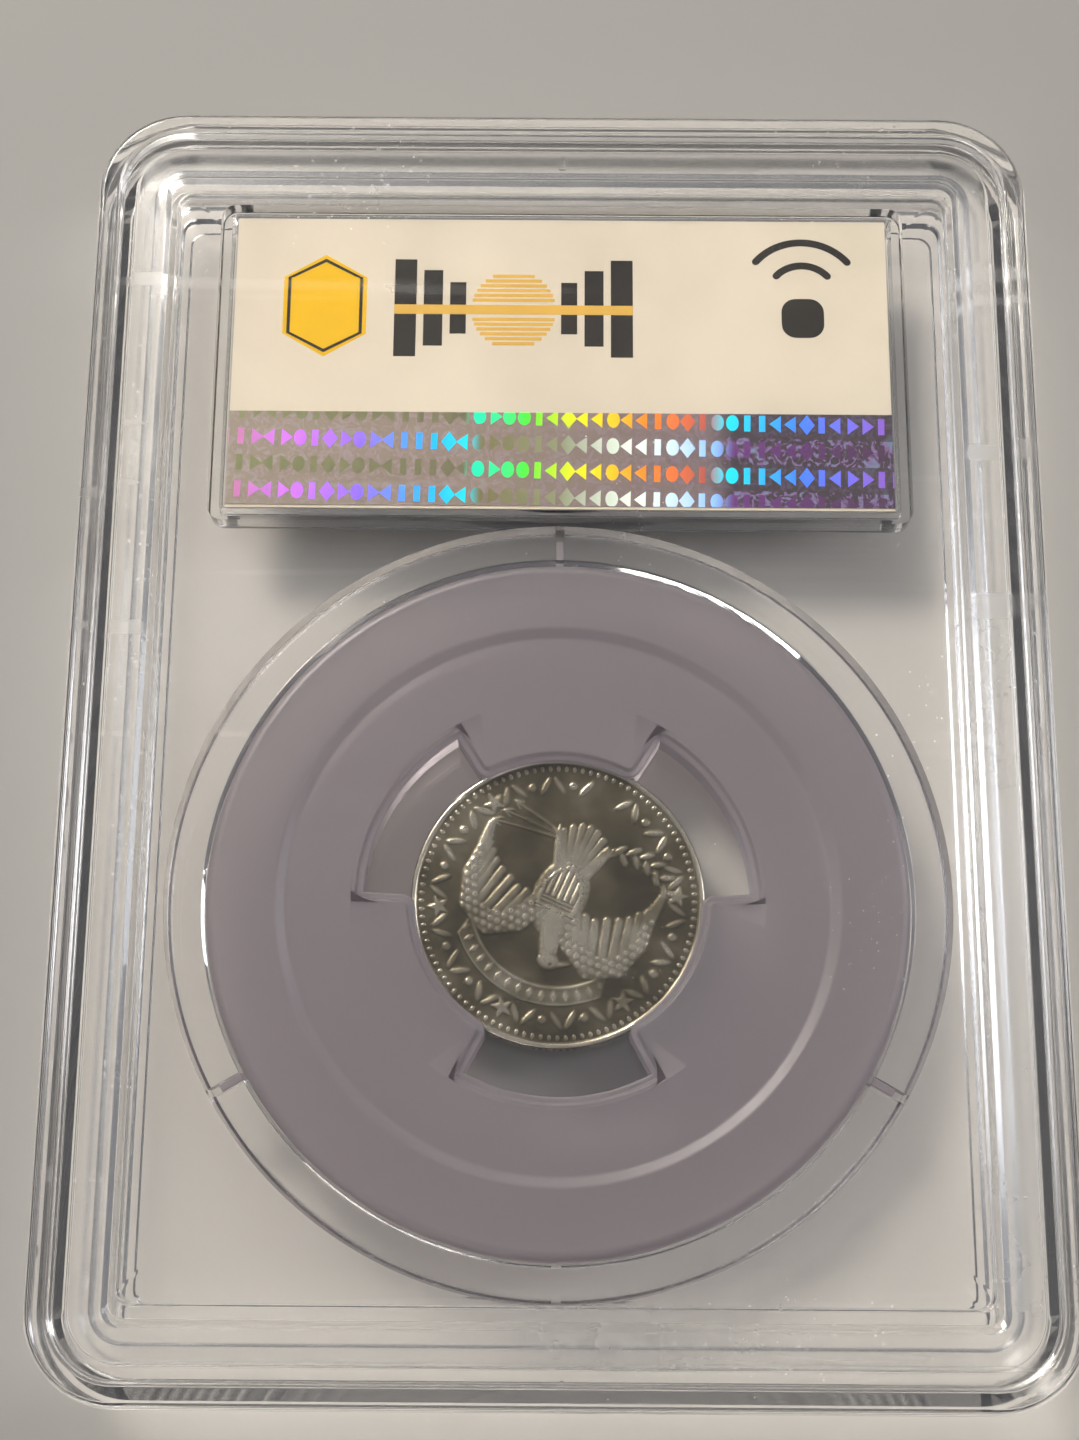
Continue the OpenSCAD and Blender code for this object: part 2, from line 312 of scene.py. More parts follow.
def wear_group():
    """Fine scratches, dull handled patches and dust, for moulded plastic."""
    group, entry, leave = shader_group(
        "handling_wear",
        {"Scratch Scale": 160.0, "Patch Scale": 45.0, "Clean": 0.03, "Dull": 0.2},
        ("Roughness", "Marks"),
    )
    add = node_maker(group)
    place = add("ShaderNodeTexCoord").outputs["Object"]
    patches = add("ShaderNodeTexNoise", Vector=place, Scale=entry.outputs["Patch Scale"],
                  Detail=5.0, Roughness=0.6)
    patch = remap(add, patches, 0.5, 0.72)
    lines = None
    for turn, seed in ((0.5, 3.1), (-0.9, 7.7), (1.35, 5.2)):
        turned = add("ShaderNodeMapping", Vector=place, Location=(seed, seed, 0),
                     Rotation=(0, 0, turn), Scale=(0.045, 1.0, 1.0))
        streaks = add("ShaderNodeTexNoise", Vector=turned,
                      Scale=entry.outputs["Scratch Scale"], Detail=3.0, Roughness=0.7)
        streak = remap(add, streaks, 0.655, 0.69)
        lines = streak if lines is None else maths(add, "MAXIMUM", lines, streak)
    dull = remap(add, patch, to_low=entry.outputs["Clean"], to_high=entry.outputs["Dull"])
    scored = maths(add, "MULTIPLY_ADD", lines, 0.2, dull)
    specks = add("ShaderNodeTexVoronoi", Vector=place, Scale=1300.0)
    speck = remap(add, specks, 0.16, 0.07)
    drift = add("ShaderNodeTexNoise", Vector=place, Scale=70.0, Detail=4.0)
    settled = remap(add, drift, 0.54, 0.74)
    dust = maths(add, "MULTIPLY", speck, settled)
    marked = maths(add, "MAXIMUM", lines, dust)
    dusted = maths(add, "MULTIPLY_ADD", dust, 0.35, scored)
    group.links.new(dusted.outputs["Value"], leave.inputs["Roughness"])
    group.links.new(marked.outputs["Value"], leave.inputs["Marks"])
    return group


def grain_group():
    """A fine even grain with slow clouds over it, for paper, ink and cast surfaces."""
    group, entry, leave = shader_group(
        "fine_grain", {"Grain Scale": 2500.0, "Cloud Scale": 120.0}, ("Grain", "Clouds"))
    add = node_maker(group)
    place = add("ShaderNodeTexCoord").outputs["Object"]
    grain = add("ShaderNodeTexNoise", Vector=place, Scale=entry.outputs["Grain Scale"],
                Detail=4.0, Roughness=0.65)
    clouds = add("ShaderNodeTexNoise", Vector=place, Scale=entry.outputs["Cloud Scale"],
                 Detail=3.0, Roughness=0.5)
    group.links.new(grain.outputs["Fac"], leave.inputs["Grain"])
    group.links.new(clouds.outputs["Fac"], leave.inputs["Clouds"])
    return group


WEAR = wear_group()
GRAIN = grain_group()


def new_material(name):
    """An empty material and the function that adds nodes to it."""
    material = bpy.data.materials.new(name)
    material.use_nodes = True
    material.node_tree.nodes.clear()
    return material, node_maker(material.node_tree)


def ramp(add, factor, stops):
    """A colour ramp on the factor, from (place, colour) stops."""
    node = add("ShaderNodeValToRGB", Fac=factor)
    elements = node.color_ramp.elements
    while len(elements) < len(stops):
        elements.new(0.5)
    for element, (place, colour) in zip(elements, stops):
        element.position = place
        element.color = (*colour, 1)
    return node.outputs["Color"]


def border_haze(add):
    """A mask of the frosted band that runs round each shell between its groove and its step."""
    place = add("ShaderNodeTexCoord").outputs["Object"]
    split = add("ShaderNodeSeparateXYZ", Vector=place)
    insets = []
    for axis, half in (("X", HALF_W), ("Y", HALF_L)):
        size = maths(add, "ABSOLUTE", split.outputs[axis])
        inset = maths(add, "SUBTRACT", half * MM, size)
        insets.append(inset)
    inset = maths(add, "MINIMUM", insets[0], insets[1])
    start = remap(add, inset, (GROOVE_IN - 0.1) * MM, (GROOVE_IN + 0.2) * MM)
    end = remap(add, inset, (FRAME_IN + 0.1) * MM, (FRAME_IN - 0.1) * MM)
    band = maths(add, "MULTIPLY", start, end)
    return band


def clear_finish(name, tint, weight, clean, dull, ior, shade, frosted=False):
    """Clear moulded plastic that lets lamps through, with handling wear on its gloss."""
    material, add = new_material(name)
    wear = placed_group(add, WEAR, Clean=clean, Dull=dull)
    roughness = wear.outputs["Roughness"]
    if frosted:
        band = border_haze(add)
        roughness = maths(add, "MULTIPLY_ADD", band, 0.2, roughness)
    bump = add("ShaderNodeBump", Strength=0.3, Distance=0.00003, Height=wear.outputs["Marks"])
    plastic = add("ShaderNodeBsdfPrincipled", Base_Color=(*tint, 1), IOR=ior,
                  Transmission_Weight=weight, Roughness=roughness, Normal=bump)
    lamp_side = add("ShaderNodeBsdfTransparent", Color=(*shade, 1))
    rays = add("ShaderNodeLightPath")
    mixed = add("ShaderNodeMixShader", i0=rays.outputs["Is Shadow Ray"], i1=plastic, i2=lamp_side)
    add("ShaderNodeOutputMaterial", Surface=mixed)
    return material


def grained_finish(name, light, dark, roughness, grain_scale=2500.0, bump_depth=0.00001,
                   metallic=0.0, shine=0.5):
    """A matt surface whose colour and gloss drift a little, with a fine grain in relief."""
    material, add = new_material(name)
    grain = placed_group(add, GRAIN, Grain_Scale=grain_scale)
    colour = ramp(add, grain.outputs["Clouds"], [(0.35, dark), (0.65, light)])
    gloss = remap(add, grain.outputs["Grain"], to_low=roughness - 0.08, to_high=roughness + 0.08)
    bump = add("ShaderNodeBump", Strength=0.5, Distance=bump_depth, Height=grain.outputs["Grain"])
    surface = add("ShaderNodeBsdfPrincipled", Base_Color=colour, Metallic=metallic,
                  Roughness=gloss, Specular_IOR_Level=shine, Normal=bump)
    add("ShaderNodeOutputMaterial", Surface=surface)
    return material


def toned_silver():
    """Old silver: dark olive toning in the recesses, worn bright on the relief."""
    material, add = new_material("toned_silver")
    grain = placed_group(add, GRAIN, Grain_Scale=1800.0, Cloud_Scale=260.0)
    relief = add("ShaderNodeAttribute", {"attribute_name": "relief"}).outputs["Fac"]
    drift = maths(add, "MULTIPLY_ADD", grain.outputs["Clouds"], 1.6, -0.66)
    worn = maths(add, "ADD", relief, drift, use_clamp=True)
    colour = ramp(add, worn, [
        (0.0, (0.05, 0.042, 0.026)), (0.3, (0.105, 0.088, 0.056)), (0.6, (0.235, 0.205, 0.145)),
        (1.0, (0.62, 0.565, 0.46)),
    ])
    gloss = remap(add, worn, to_low=0.5, to_high=0.24)
    bump = add("ShaderNodeBump", Strength=0.35, Distance=0.00002, Height=grain.outputs["Grain"])
    silver = add("ShaderNodeBsdfPrincipled", Base_Color=colour, Metallic=0.9,
                 Roughness=gloss, Normal=bump)
    add("ShaderNodeOutputMaterial", Surface=silver)
    return material


def strip_place(add):
    """Where a point is on the hologram strip: its place, 0 to 1 across, and which row set."""
    place = add("ShaderNodeTexCoord").outputs["Object"]
    middle = (STRIP_LOW + STRIP_HIGH) / 2 * MM
    turned = add("ShaderNodeMapping", {"vector_type": "TEXTURE"}, Vector=place,
                 Location=(0, middle.y, 0), Rotation=(0, 0, STRIP_SKEW))
    split = add("ShaderNodeSeparateXYZ", Vector=turned)
    across = remap(add, split.outputs["X"], STRIP_LOW.x * MM, STRIP_HIGH.x * MM)
    pairs = maths(add, "MULTIPLY_ADD", split.outputs["Y"], 0.5 / (ROW_PITCH * MM), 0.5)
    turn = maths(add, "FRACT", pairs)
    other = maths(add, "GREATER_THAN", turn, 0.5)
    return place, across, other


STRIP_SKEW = math.radians(-1.3)
ROW_PITCH = 1.9


def strip_colours(add, across, other):
    """The diffracted colours: two sets of bands that take turns from row to row."""
    warm = ramp(add, across, [
        (0.0, (0.15, 0.16, 0.07)), (0.355, (0.14, 0.13, 0.07)), (0.37, (0.0, 0.72, 0.42)),
        (0.45, (0.06, 0.8, 0.02)), (0.54, (0.85, 0.7, 0.0)), (0.63, (1.0, 0.22, 0.01)),
        (0.72, (0.42, 0.09, 0.07)), (0.75, (0.0, 0.68, 0.85)), (0.86, (0.05, 0.2, 1.0)),
        (1.0, (0.26, 0.1, 0.5)),
    ])
    cool = ramp(add, across, [
        (0.0, (0.42, 0.15, 0.26)), (0.1, (0.5, 0.14, 0.75)), (0.2, (0.22, 0.12, 1.0)),
        (0.3, (0.0, 0.36, 1.0)), (0.36, (0.0, 0.62, 0.75)), (0.38, (0.15, 0.13, 0.05)),
        (0.5, (0.22, 0.24, 0.13)), (0.62, (0.8, 0.9, 0.8)), (0.73, (0.25, 0.5, 1.0)),
        (0.76, (0.12, 0.03, 0.16)), (1.0, (0.06, 0.03, 0.06)),
    ])
    return add("ShaderNodeMix", {"data_type": "RGBA"}, i0=other, i6=warm, i7=cool).outputs[2]


def hologram_foil():
    """The strip's brown-grey foil, with painted glints from its crinkles added to its colour, most in
    its right-hand rows.
    """
    material, add = new_material("hologram_foil")
    place, across, other = strip_place(add)
    crinkle = add("ShaderNodeTexNoise", Vector=place, Scale=1100.0, Detail=3.0, Distortion=2.5)
    base = ramp(add, across, [
        (0.0, (0.24, 0.2, 0.155)), (0.4, (0.25, 0.195, 0.155)), (0.72, (0.2, 0.15, 0.145)),
        (0.76, (0.06, 0.045, 0.05)), (1.0, (0.07, 0.055, 0.06)),
    ])
    # Painted glints: a crinkle pattern of purple and blue light that is added into the foil's colour.
    glint = ramp(add, crinkle, [
        (0.48, (0.0, 0.0, 0.0)), (0.58, (0.2, 0.1, 0.3)), (0.66, (0.1, 0.22, 0.3)),
    ])
    # The painted glints are strongest in every other row of the right-hand block.
    right = maths(add, "GREATER_THAN", across, 0.745)
    lit = maths(add, "MULTIPLY", right, other)
    share = remap(add, lit, to_low=0.22, to_high=1.0)
    colour = add("ShaderNodeMix", {"data_type": "RGBA", "blend_type": "ADD"},
                 i0=share, i6=base, i7=glint)
    bump = add("ShaderNodeBump", Strength=0.3, Distance=0.00002, Height=crinkle)
    foil = add("ShaderNodeBsdfPrincipled", Base_Color=colour.outputs[2], Metallic=0.4,
               Roughness=0.42, Normal=bump)
    add("ShaderNodeOutputMaterial", Surface=foil)
    return material


def hologram_marks_with_painted_glow():
    """The strip's marks in bands of colour, which also give off a faint painted glow of that colour."""
    material, add = new_material("hologram_marks")
    place, across, other = strip_place(add)
    colour = strip_colours(add, across, other)
    sparkle = add("ShaderNodeTexNoise", Vector=place, Scale=2200.0, Detail=2.0)
    gloss = remap(add, sparkle, to_low=0.2, to_high=0.5)
    # Painted glow: an emission in the marks' own colour stands in for the brightness of diffracted
    # light.
    mark = add("ShaderNodeBsdfPrincipled", Base_Color=colour, Metallic=0.3,
               Roughness=gloss, Emission_Color=colour, Emission_Strength=0.35)
    add("ShaderNodeOutputMaterial", Surface=mark)
    return material


CLEAR = clear_finish("clear_shell", (0.985, 0.98, 0.975), 1.0, 0.02, 0.14, 1.55, (0.93, 0.93, 0.93),
                     frosted=True)
SOFT = clear_finish("soft_holder", (0.37, 0.33, 0.35), 0.7, 0.34, 0.44, 1.45, (0.5, 0.48, 0.5))
FILM = clear_finish("tag_film", (0.9, 0.94, 0.96), 0.8, 0.1, 0.2, 1.5, (0.9, 0.92, 0.94))
SILVER = toned_silver()
PAPER = grained_finish("label_paper", (0.64, 0.57, 0.455), (0.58, 0.515, 0.41), 0.8, 3200.0,
                       shine=0.15)
GOLD_INK = grained_finish("gold_ink", (0.66, 0.4, 0.075), (0.58, 0.35, 0.06), 0.6, shine=0.15)
YELLOW_INK = grained_finish("yellow_ink", (0.72, 0.43, 0.003), (0.66, 0.39, 0.003), 0.6, shine=0.15)
DARK_INK = grained_finish("dark_ink", (0.03, 0.025, 0.019), (0.018, 0.015, 0.012), 0.65, shine=0.15)
FOIL = grained_finish("antenna_foil", (0.8, 0.8, 0.82), (0.7, 0.7, 0.73), 0.35, 1200.0, 0.00001, 1.0)
CHIP = grained_finish("chip", (0.03, 0.03, 0.035), (0.02, 0.02, 0.025), 0.4)
HOLOGRAM = hologram_foil()
HOLOGRAM_MARKS = hologram_marks_with_painted_glow()


def finish_piece(piece, material, slot, body, *nodes):
    """Gives a made piece its material and its place in the frame."""
    piece.data.materials.clear()
    piece.data.materials.append(material)
    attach(piece, body)
    if nodes:
        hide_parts(*nodes)
    return piece


def finish_node(name, material):
    """Gives a CAD node that is shown as it is a better material."""
    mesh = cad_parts[name].data
    mesh.materials.clear()
    mesh.materials.append(material)


# ---------------------------------------------------------------- shells

def border_ring(inset, z):
    """The slab's outline moved in; the panel's ends sit a little further in than its sides."""
    share = min(max((inset - FRAME_IN) / (PANEL_IN - FRAME_IN - 0.3), 0), 1)
    radius = max(CORNER_R - inset, PANEL_CORNER_R)
    ring = round_rect(HALF_W - inset, HALF_L - inset - PANEL_END_EXTRA * share, radius)
    return [(x, y, z) for x, y in ring]


def shell_block(name, height):
    """One half of the slab, rim to parting plane; height turns a depth below the rim into z."""
    section = filleted([
        (PANEL_IN + 3, PANEL_DROP, 0),
        (PANEL_IN, PANEL_DROP, 0.12),
        (PANEL_IN - 0.12, STEP_DROP, 0.12),
        (FRAME_IN + 0.25, STEP_DROP, 0.06),
        (FRAME_IN - 0.05, FRAME_DROP, 0.12),
        (GROOVE_IN + 0.08, FRAME_DROP, 0.22),
        (GROOVE_IN, GROOVE_DROP, 0.12),
        (RIM_W, GROOVE_DROP, 0.12),
        (RIM_W - 0.06, 0, 0.3),
        (0, 0, 0.45),
        (0, PARTING_Z - WELD_GAP, 0.08),
        (WALL_IN, PARTING_Z - WELD_GAP, 0.06),
        (WALL_IN - 0.05, FLOOR_DEPTH, 0.25),
        (WALL_IN + 4, FLOOR_DEPTH, 0),
    ])
    return loft(name, [border_ring(inset, height(depth)) for inset, depth in section])


def ring_wall(name, height):
    """The round wall of the coin well, drafted outside, with a soft tip."""
    well_r = RING_R - RING_T
    section = filleted([
        (well_r + 0.6, FLOOR_DEPTH - ROOT, 0),
        (RING_R, FLOOR_DEPTH - ROOT, 0),
        (RING_R - RING_DRAFT, PARTING_Z - WELD_GAP, 0.25),
        (well_r, PARTING_Z - WELD_GAP, 0.25),
        (well_r, FLOOR_DEPTH - ROOT, 0),
    ])
    rings = []
    for radius, depth in section:
        rings.append([(x, y, height(depth)) for x, y in circle(radius, 192, (0, WELL_Y))])
    return loft(name, rings, closed=True)


def frame_wall(name, half_w, half_l, centre_y, thickness, tip_depth, height, corner):
    """A rectangular wall that stands on the panel's inner face, with a soft tip."""
    section = filleted([
        (thickness, FLOOR_DEPTH - ROOT, 0),
        (0, FLOOR_DEPTH - ROOT, 0),
        (0.03, tip_depth, 0.12),
        (thickness - 0.03, tip_depth, 0.12),
        (thickness, FLOOR_DEPTH - ROOT, 0),
    ], 4)[1:]
    rings = []
    for inset, depth in section:
        ring = round_rect(half_w - inset, half_l - inset, max(corner - inset, 0.15), 8)
        rings.append([(x, centre_y + y, height(depth)) for x, y in ring])
    return loft(name, rings, closed=True)


def index_rib(side, height):
    """The small rib across the frame at the middle of one short end."""
    middle = side * (HALF_L - (GROOVE_IN + FRAME_IN) / 2)
    z = sorted((height(FRAME_DROP + 0.2), height(FRAME_DROP - 0.17)))
    return rounded_block("index_rib", (-0.2, middle - 0.55, z[0]), (0.2, middle + 0.55, z[1]), 0.08)


def ring_slot(angle, height):
    """A cutter for one slot through the ring wall's tip."""
    turn = math.radians(angle)
    radial, side = Vector((math.cos(turn), math.sin(turn))), Vector((-math.sin(turn), math.cos(turn)))
    points = []
    for z in sorted((height(PARTING_Z + 0.5), height(PARTING_Z - SLOT_H))):
        for r, w in ((-1, -1), (1, -1), (1, 1), (-1, 1)):
            middle = RING_R - RING_T / 2 + r * (RING_T / 2 + 0.8)
            spot = radial * middle + side * (w * SLOT_W / 2)
            points.append((spot.x, WELL_Y + spot.y, z))
    faces = [(0, 1, 2, 3), (4, 5, 6, 7), (0, 1, 5, 4), (1, 2, 6, 5), (2, 3, 7, 6), (3, 0, 4, 7)]
    return new_piece("slot", points, faces)


def pocket_sizes():
    """Half width, half length and centre of the outside of the wall round the label."""
    half_w = HALF_W - PANEL_IN - POCKET_SIDE
    half_l = (LABEL_HIGH.y - LABEL_LOW.y) / 2 + LABEL_END_GAP + POCKET_T
    return half_w, half_l, (LABEL_HIGH.y + LABEL_LOW.y) / 2


def back_shell():
    """The upper half: the label's pocket, and a ring wall with slots for the holder's lugs."""
    def height(depth):
        return SLAB_T - depth
    half_w, half_l, middle = pocket_sizes()
    shell = shell_block("clear_back_shell", height)
    ring = ring_wall("ring", height)
    slots = [ring_slot(a, height) for a in (*PRONG_ANGLES, 270)]
    ring = fused(ring, cut=slots)
    pocket = frame_wall("pocket", half_w, half_l, middle, POCKET_T, PARTING_Z, height, 1.0)
    ribs = [index_rib(side, height) for side in (-1, 1)]
    return smoothed(fused(shell, ring, pocket, *ribs))


def front_shell():
    """The lower half: the label's seat, a plain ring wall, and a tongue inside the weld."""
    def height(depth):
        return depth
    half_w, half_l, middle = pocket_sizes()
    inner = POCKET_T + 0.1
    shell = shell_block("clear_front_shell", height)
    ring = ring_wall("ring", height)
    seat = frame_wall("seat", half_w - inner, half_l - inner, middle, POCKET_T,
                      FRONT_SHEET_LOW.z - 0.01, height, 0.5)
    start = WALL_IN + TONGUE_GAP
    tongue = frame_wall("tongue", HALF_W - start, HALF_L - start, 0, TONGUE_T,
                        PARTING_Z + TONGUE_H, height, CORNER_R - start)
    ribs = [index_rib(side, height) for side in (-1, 1)]
    return smoothed(fused(shell, ring, seat, tongue, *ribs))


# ---------------------------------------------------------------- coin holder

def prong_corner():
    """The fillet at a prong's corner as (radius, angle past the prong's side) points."""
    centre_r = LIP_R + PRONG_FILLET
    swing = math.asin(PRONG_FILLET / centre_r)
    centre = centre_r * Vector((math.cos(swing), math.sin(swing)))
    corner = []
    for i in range(9):
        turn = math.radians(270) - (math.pi / 2 - swing) * i / 8
        spot = centre + PRONG_FILLET * Vector((math.cos(turn), math.sin(turn)))
        corner.append((spot.length, math.degrees(math.atan2(spot.y, spot.x))))
    return corner


def opening_third(start):
    """A third of the holder's opening, from the angle start: one window, then one prong.

    Returns (radius, angle, spread) points, where spread is the angle of the point's match on
    the holder's round outside.
    """
    window_end = start + WINDOW_ANGLE
    prong_angle = 120 - WINDOW_ANGLE
    window = [(WINDOW_R, start + WINDOW_ANGLE * i / 30) for i in range(31)]
    corner = prong_corner()
    side = [WINDOW_R + (corner[0][0] - WINDOW_R) * i / 5 for i in range(1, 5)]
    prong = [(r, window_end) for r in side] + [(r, window_end + a) for r, a in corner]
    first, last = prong[-1][1], start + 120 - corner[-1][1]
    lips = [(LIP_R, first + (last - first) * i / 32) for i in range(1, 32)]
    back = [(r, 2 * window_end + prong_angle - a) for r, a in reversed(prong)]
    prong += lips + back
    points = [(r, a, a) for r, a in window]
    for i, (radius, angle) in enumerate(prong):
        points.append((radius, angle, window_end + prong_angle * (i + 1) / (len(prong) + 1)))
    return points


def coin_holder():
    """A soft disc whose prongs grip the coin, with a ledge all round its opening."""
    starts = [middle - WINDOW_ANGLE / 2 for middle in (30, 150, 270)]
    opening = [p for start in starts for p in opening_third(start)]
    turn = np.radians([a for _, a, _ in opening])
    radius = np.array([r for r, _, _ in opening])
    edge = np.stack([radius * np.cos(turn), radius * np.sin(turn)], 1)
    spread = np.radians([s for _, _, s in opening])
    along = np.roll(edge, -1, 0) - edge
    along /= np.linalg.norm(along, axis=1)[:, None]
    after = np.stack([along[:, 1], -along[:, 0]], 1)
    before = np.roll(after, 1, 0)
    mitre = (before + after) / (1 + (before * after).sum(1))[:, None]
    groove = edge * np.maximum(1, SEAT_R / radius)[:, None]
    ring = np.stack([np.cos(spread), np.sin(spread)], 1)
    coin_t = COIN_HIGH.z - COIN_LOW.z
    groove_half = coin_t / 2 + COIN_GAP
    prong_half = groove_half + PRONG_LIP_T
    rim_half = HOLDER_T / 2
    web_half = (prong_half + rim_half) / 2
    step_r = HOLDER_R - HOLDER_RIM_W
    ledge = filleted([
        (0, groove_half, 0), (0, prong_half, 0.16), (WINDOW_LEDGE - 0.1, prong_half, 0.1),
        (WINDOW_LEDGE + 0.05, web_half - 0.03, 0.12), (WINDOW_LEDGE + 0.2, web_half - 0.03, 0),
    ], 4)
    outside = filleted([
        (WINDOW_R + 0.78, web_half - 0.03, 0), (WINDOW_R + 0.84, web_half, 0),
        (step_r - 0.3, web_half, 0.5), (step_r + 0.3, rim_half, 0.5),
        (HOLDER_R, rim_half, 0.7), (HOLDER_R, 0, 0),
    ], 6)
    rows = [(groove, 0.0), (groove, groove_half)]
    rows += [(edge + mitre * offset, z) for offset, z in ledge]
    rows += [(ring * r, z) for r, z in outside]
    rings = [[(x, WELL_Y + y, PARTING_Z + z) for x, y in row] for row, z in rows]
    below = [[(x, WELL_Y + y, PARTING_Z - z) for x, y in row] for row, z in rows[1:-1]]
    disc = loft("soft_coin_holder", rings + below[::-1], closed=True)
    lugs = [holder_lug(angle) for angle in PRONG_ANGLES]
    return smoothed(fused(disc, *lugs), 40)


def holder_lug(angle):
    """One locating lug, which reaches into a slot of the ring wall."""
    low = (HOLDER_R - 0.4, -LUG_HALF_W, PARTING_Z + 0.1)
    high = (HOLDER_R + LUG_REACH, LUG_HALF_W, PARTING_Z + SLOT_H - 0.1)
    lug = rounded_block("lug", low, high, 0.08)
    turn = Euler((0, 0, math.radians(angle))).to_matrix().to_4x4()
    lug.data.transform(turn)
    for vertex in lug.data.vertices:
        vertex.co.y += WELL_Y * MM
    return lug


# ---------------------------------------------------------------- coin

FIELD_DROP = 0.12
COIN_GRID = 204
REEDS = 136
REED_DEPTH = 0.045
RIM_START_R = 9.02
LEGEND_R = 7.62
LEGEND_END_R = 8.35
BEAD_R = 8.72
BEADS = 104
RELIEF_SPAN = 0.11  # the height from the field that counts as fully raised for the toning
COIN_TURN = 156  # how far the struck design is turned from the label's upright, in degrees


def dome(distance, width, height):
    """A raised form with a round edge, from its signed distance (negative inside)."""
    share = np.clip(-distance / width, 0, 1)
    return height * np.sqrt(1 - (1 - share) ** 2)


def to_capsule(x, y, start, end, r0, r1):
    """Signed distance to a bar from start to end whose radius goes from r0 to r1."""
    dx, dy = end[0] - start[0], end[1] - start[1]
    share = np.clip(((x - start[0]) * dx + (y - start[1]) * dy) / (dx * dx + dy * dy), 0, 1)
    near = np.hypot(x - start[0] - share * dx, y - start[1] - share * dy)
    return near - (r0 + (r1 - r0) * share)


def to_ellipse(x, y, centre, a, b, degrees=0.0):
    """Roughly the signed distance to an ellipse, turned anticlockwise about its centre."""
    turn = math.radians(degrees)
    u = (x - centre[0]) * math.cos(turn) + (y - centre[1]) * math.sin(turn)
    v = -(x - centre[0]) * math.sin(turn) + (y - centre[1]) * math.cos(turn)
    return (np.hypot(u / a, v / b) - 1) * min(a, b)


def to_polygon(x, y, corners):
    """Signed distance to a convex polygon given anticlockwise."""
    worst = np.full(np.shape(x), -1e9)
    for (ax, ay), (bx, by) in zip(corners, corners[1:] + corners[:1]):
        length = math.hypot(bx - ax, by - ay)
        worst = np.maximum(worst, ((by - ay) * (x - ax) - (bx - ax) * (y - ay)) / length)
    return worst


def scales(x, y, pitch):
    """Rows of small overlapping bumps, for feathers."""
    row = np.floor(y / pitch)
    u = x / pitch + 0.5 * (row % 2)
    return np.clip(1 - np.hypot(u - np.floor(u) - 0.5, y / pitch - row - 0.5) * 1.9, 0, 1)


def point_along(path, share):
    """The point at this share of the way along a path, each leg counted alike."""
    place = share * (len(path) - 1)
    leg = min(int(place), len(path) - 2)
    start, end = np.array(path[leg]), np.array(path[leg + 1])
    return start + (end - start) * (place - leg)


def wing_relief(x, y):
    """One raised wing to the right of the body: a scaly arm with feathers hanging from it."""
    height = np.zeros_like(x)
    arm = [(0.9, 0.4), (1.9, 2.1), (3.5, 3.1), (5.1, 2.4), (5.85, 0.6), (5.9, -1.5)]
    count = 13
    for i in range(count):
        share = i / (count - 1)
        root = point_along(arm, 0.12 + 0.88 * share)
        turn = math.radians(-118 + 30 * share)
        length = 1.9 + 1.4 * math.sin(math.pi * share) - 0.5 * share
        tip = root + length * np.array([math.cos(turn), math.sin(turn)])
        height = np.maximum(height, dome(to_capsule(x, y, root, tip, 0.34, 0.27), 0.26, 0.065))
    radii = (0.7, 0.8, 0.78, 0.68, 0.52, 0.3)
    pebbles = scales(x, y, 0.5)
    for start, end, r0, r1 in zip(arm, arm[1:], radii, radii[1:]):
        limb = dome(to_capsule(x, y, start, end, r0, r1), 0.45, 0.06)
        height = np.maximum(height, limb + 0.06 * pebbles * (limb > 0.03))
    return height


def star_distance(x, y, centre, size, points=5, turn=0.0):
    """Roughly the signed distance to a star with one point along the turn."""
    u, v = x - centre[0], y - centre[1]
    around = np.arctan2(v, u) - turn
    sector = 2 * math.pi / points
    fold = np.abs((around + sector / 2) % sector - sector / 2)
    return np.hypot(u, v) * (0.55 + 0.45 * fold / (sector / 2) * 1.9) - size * 0.62


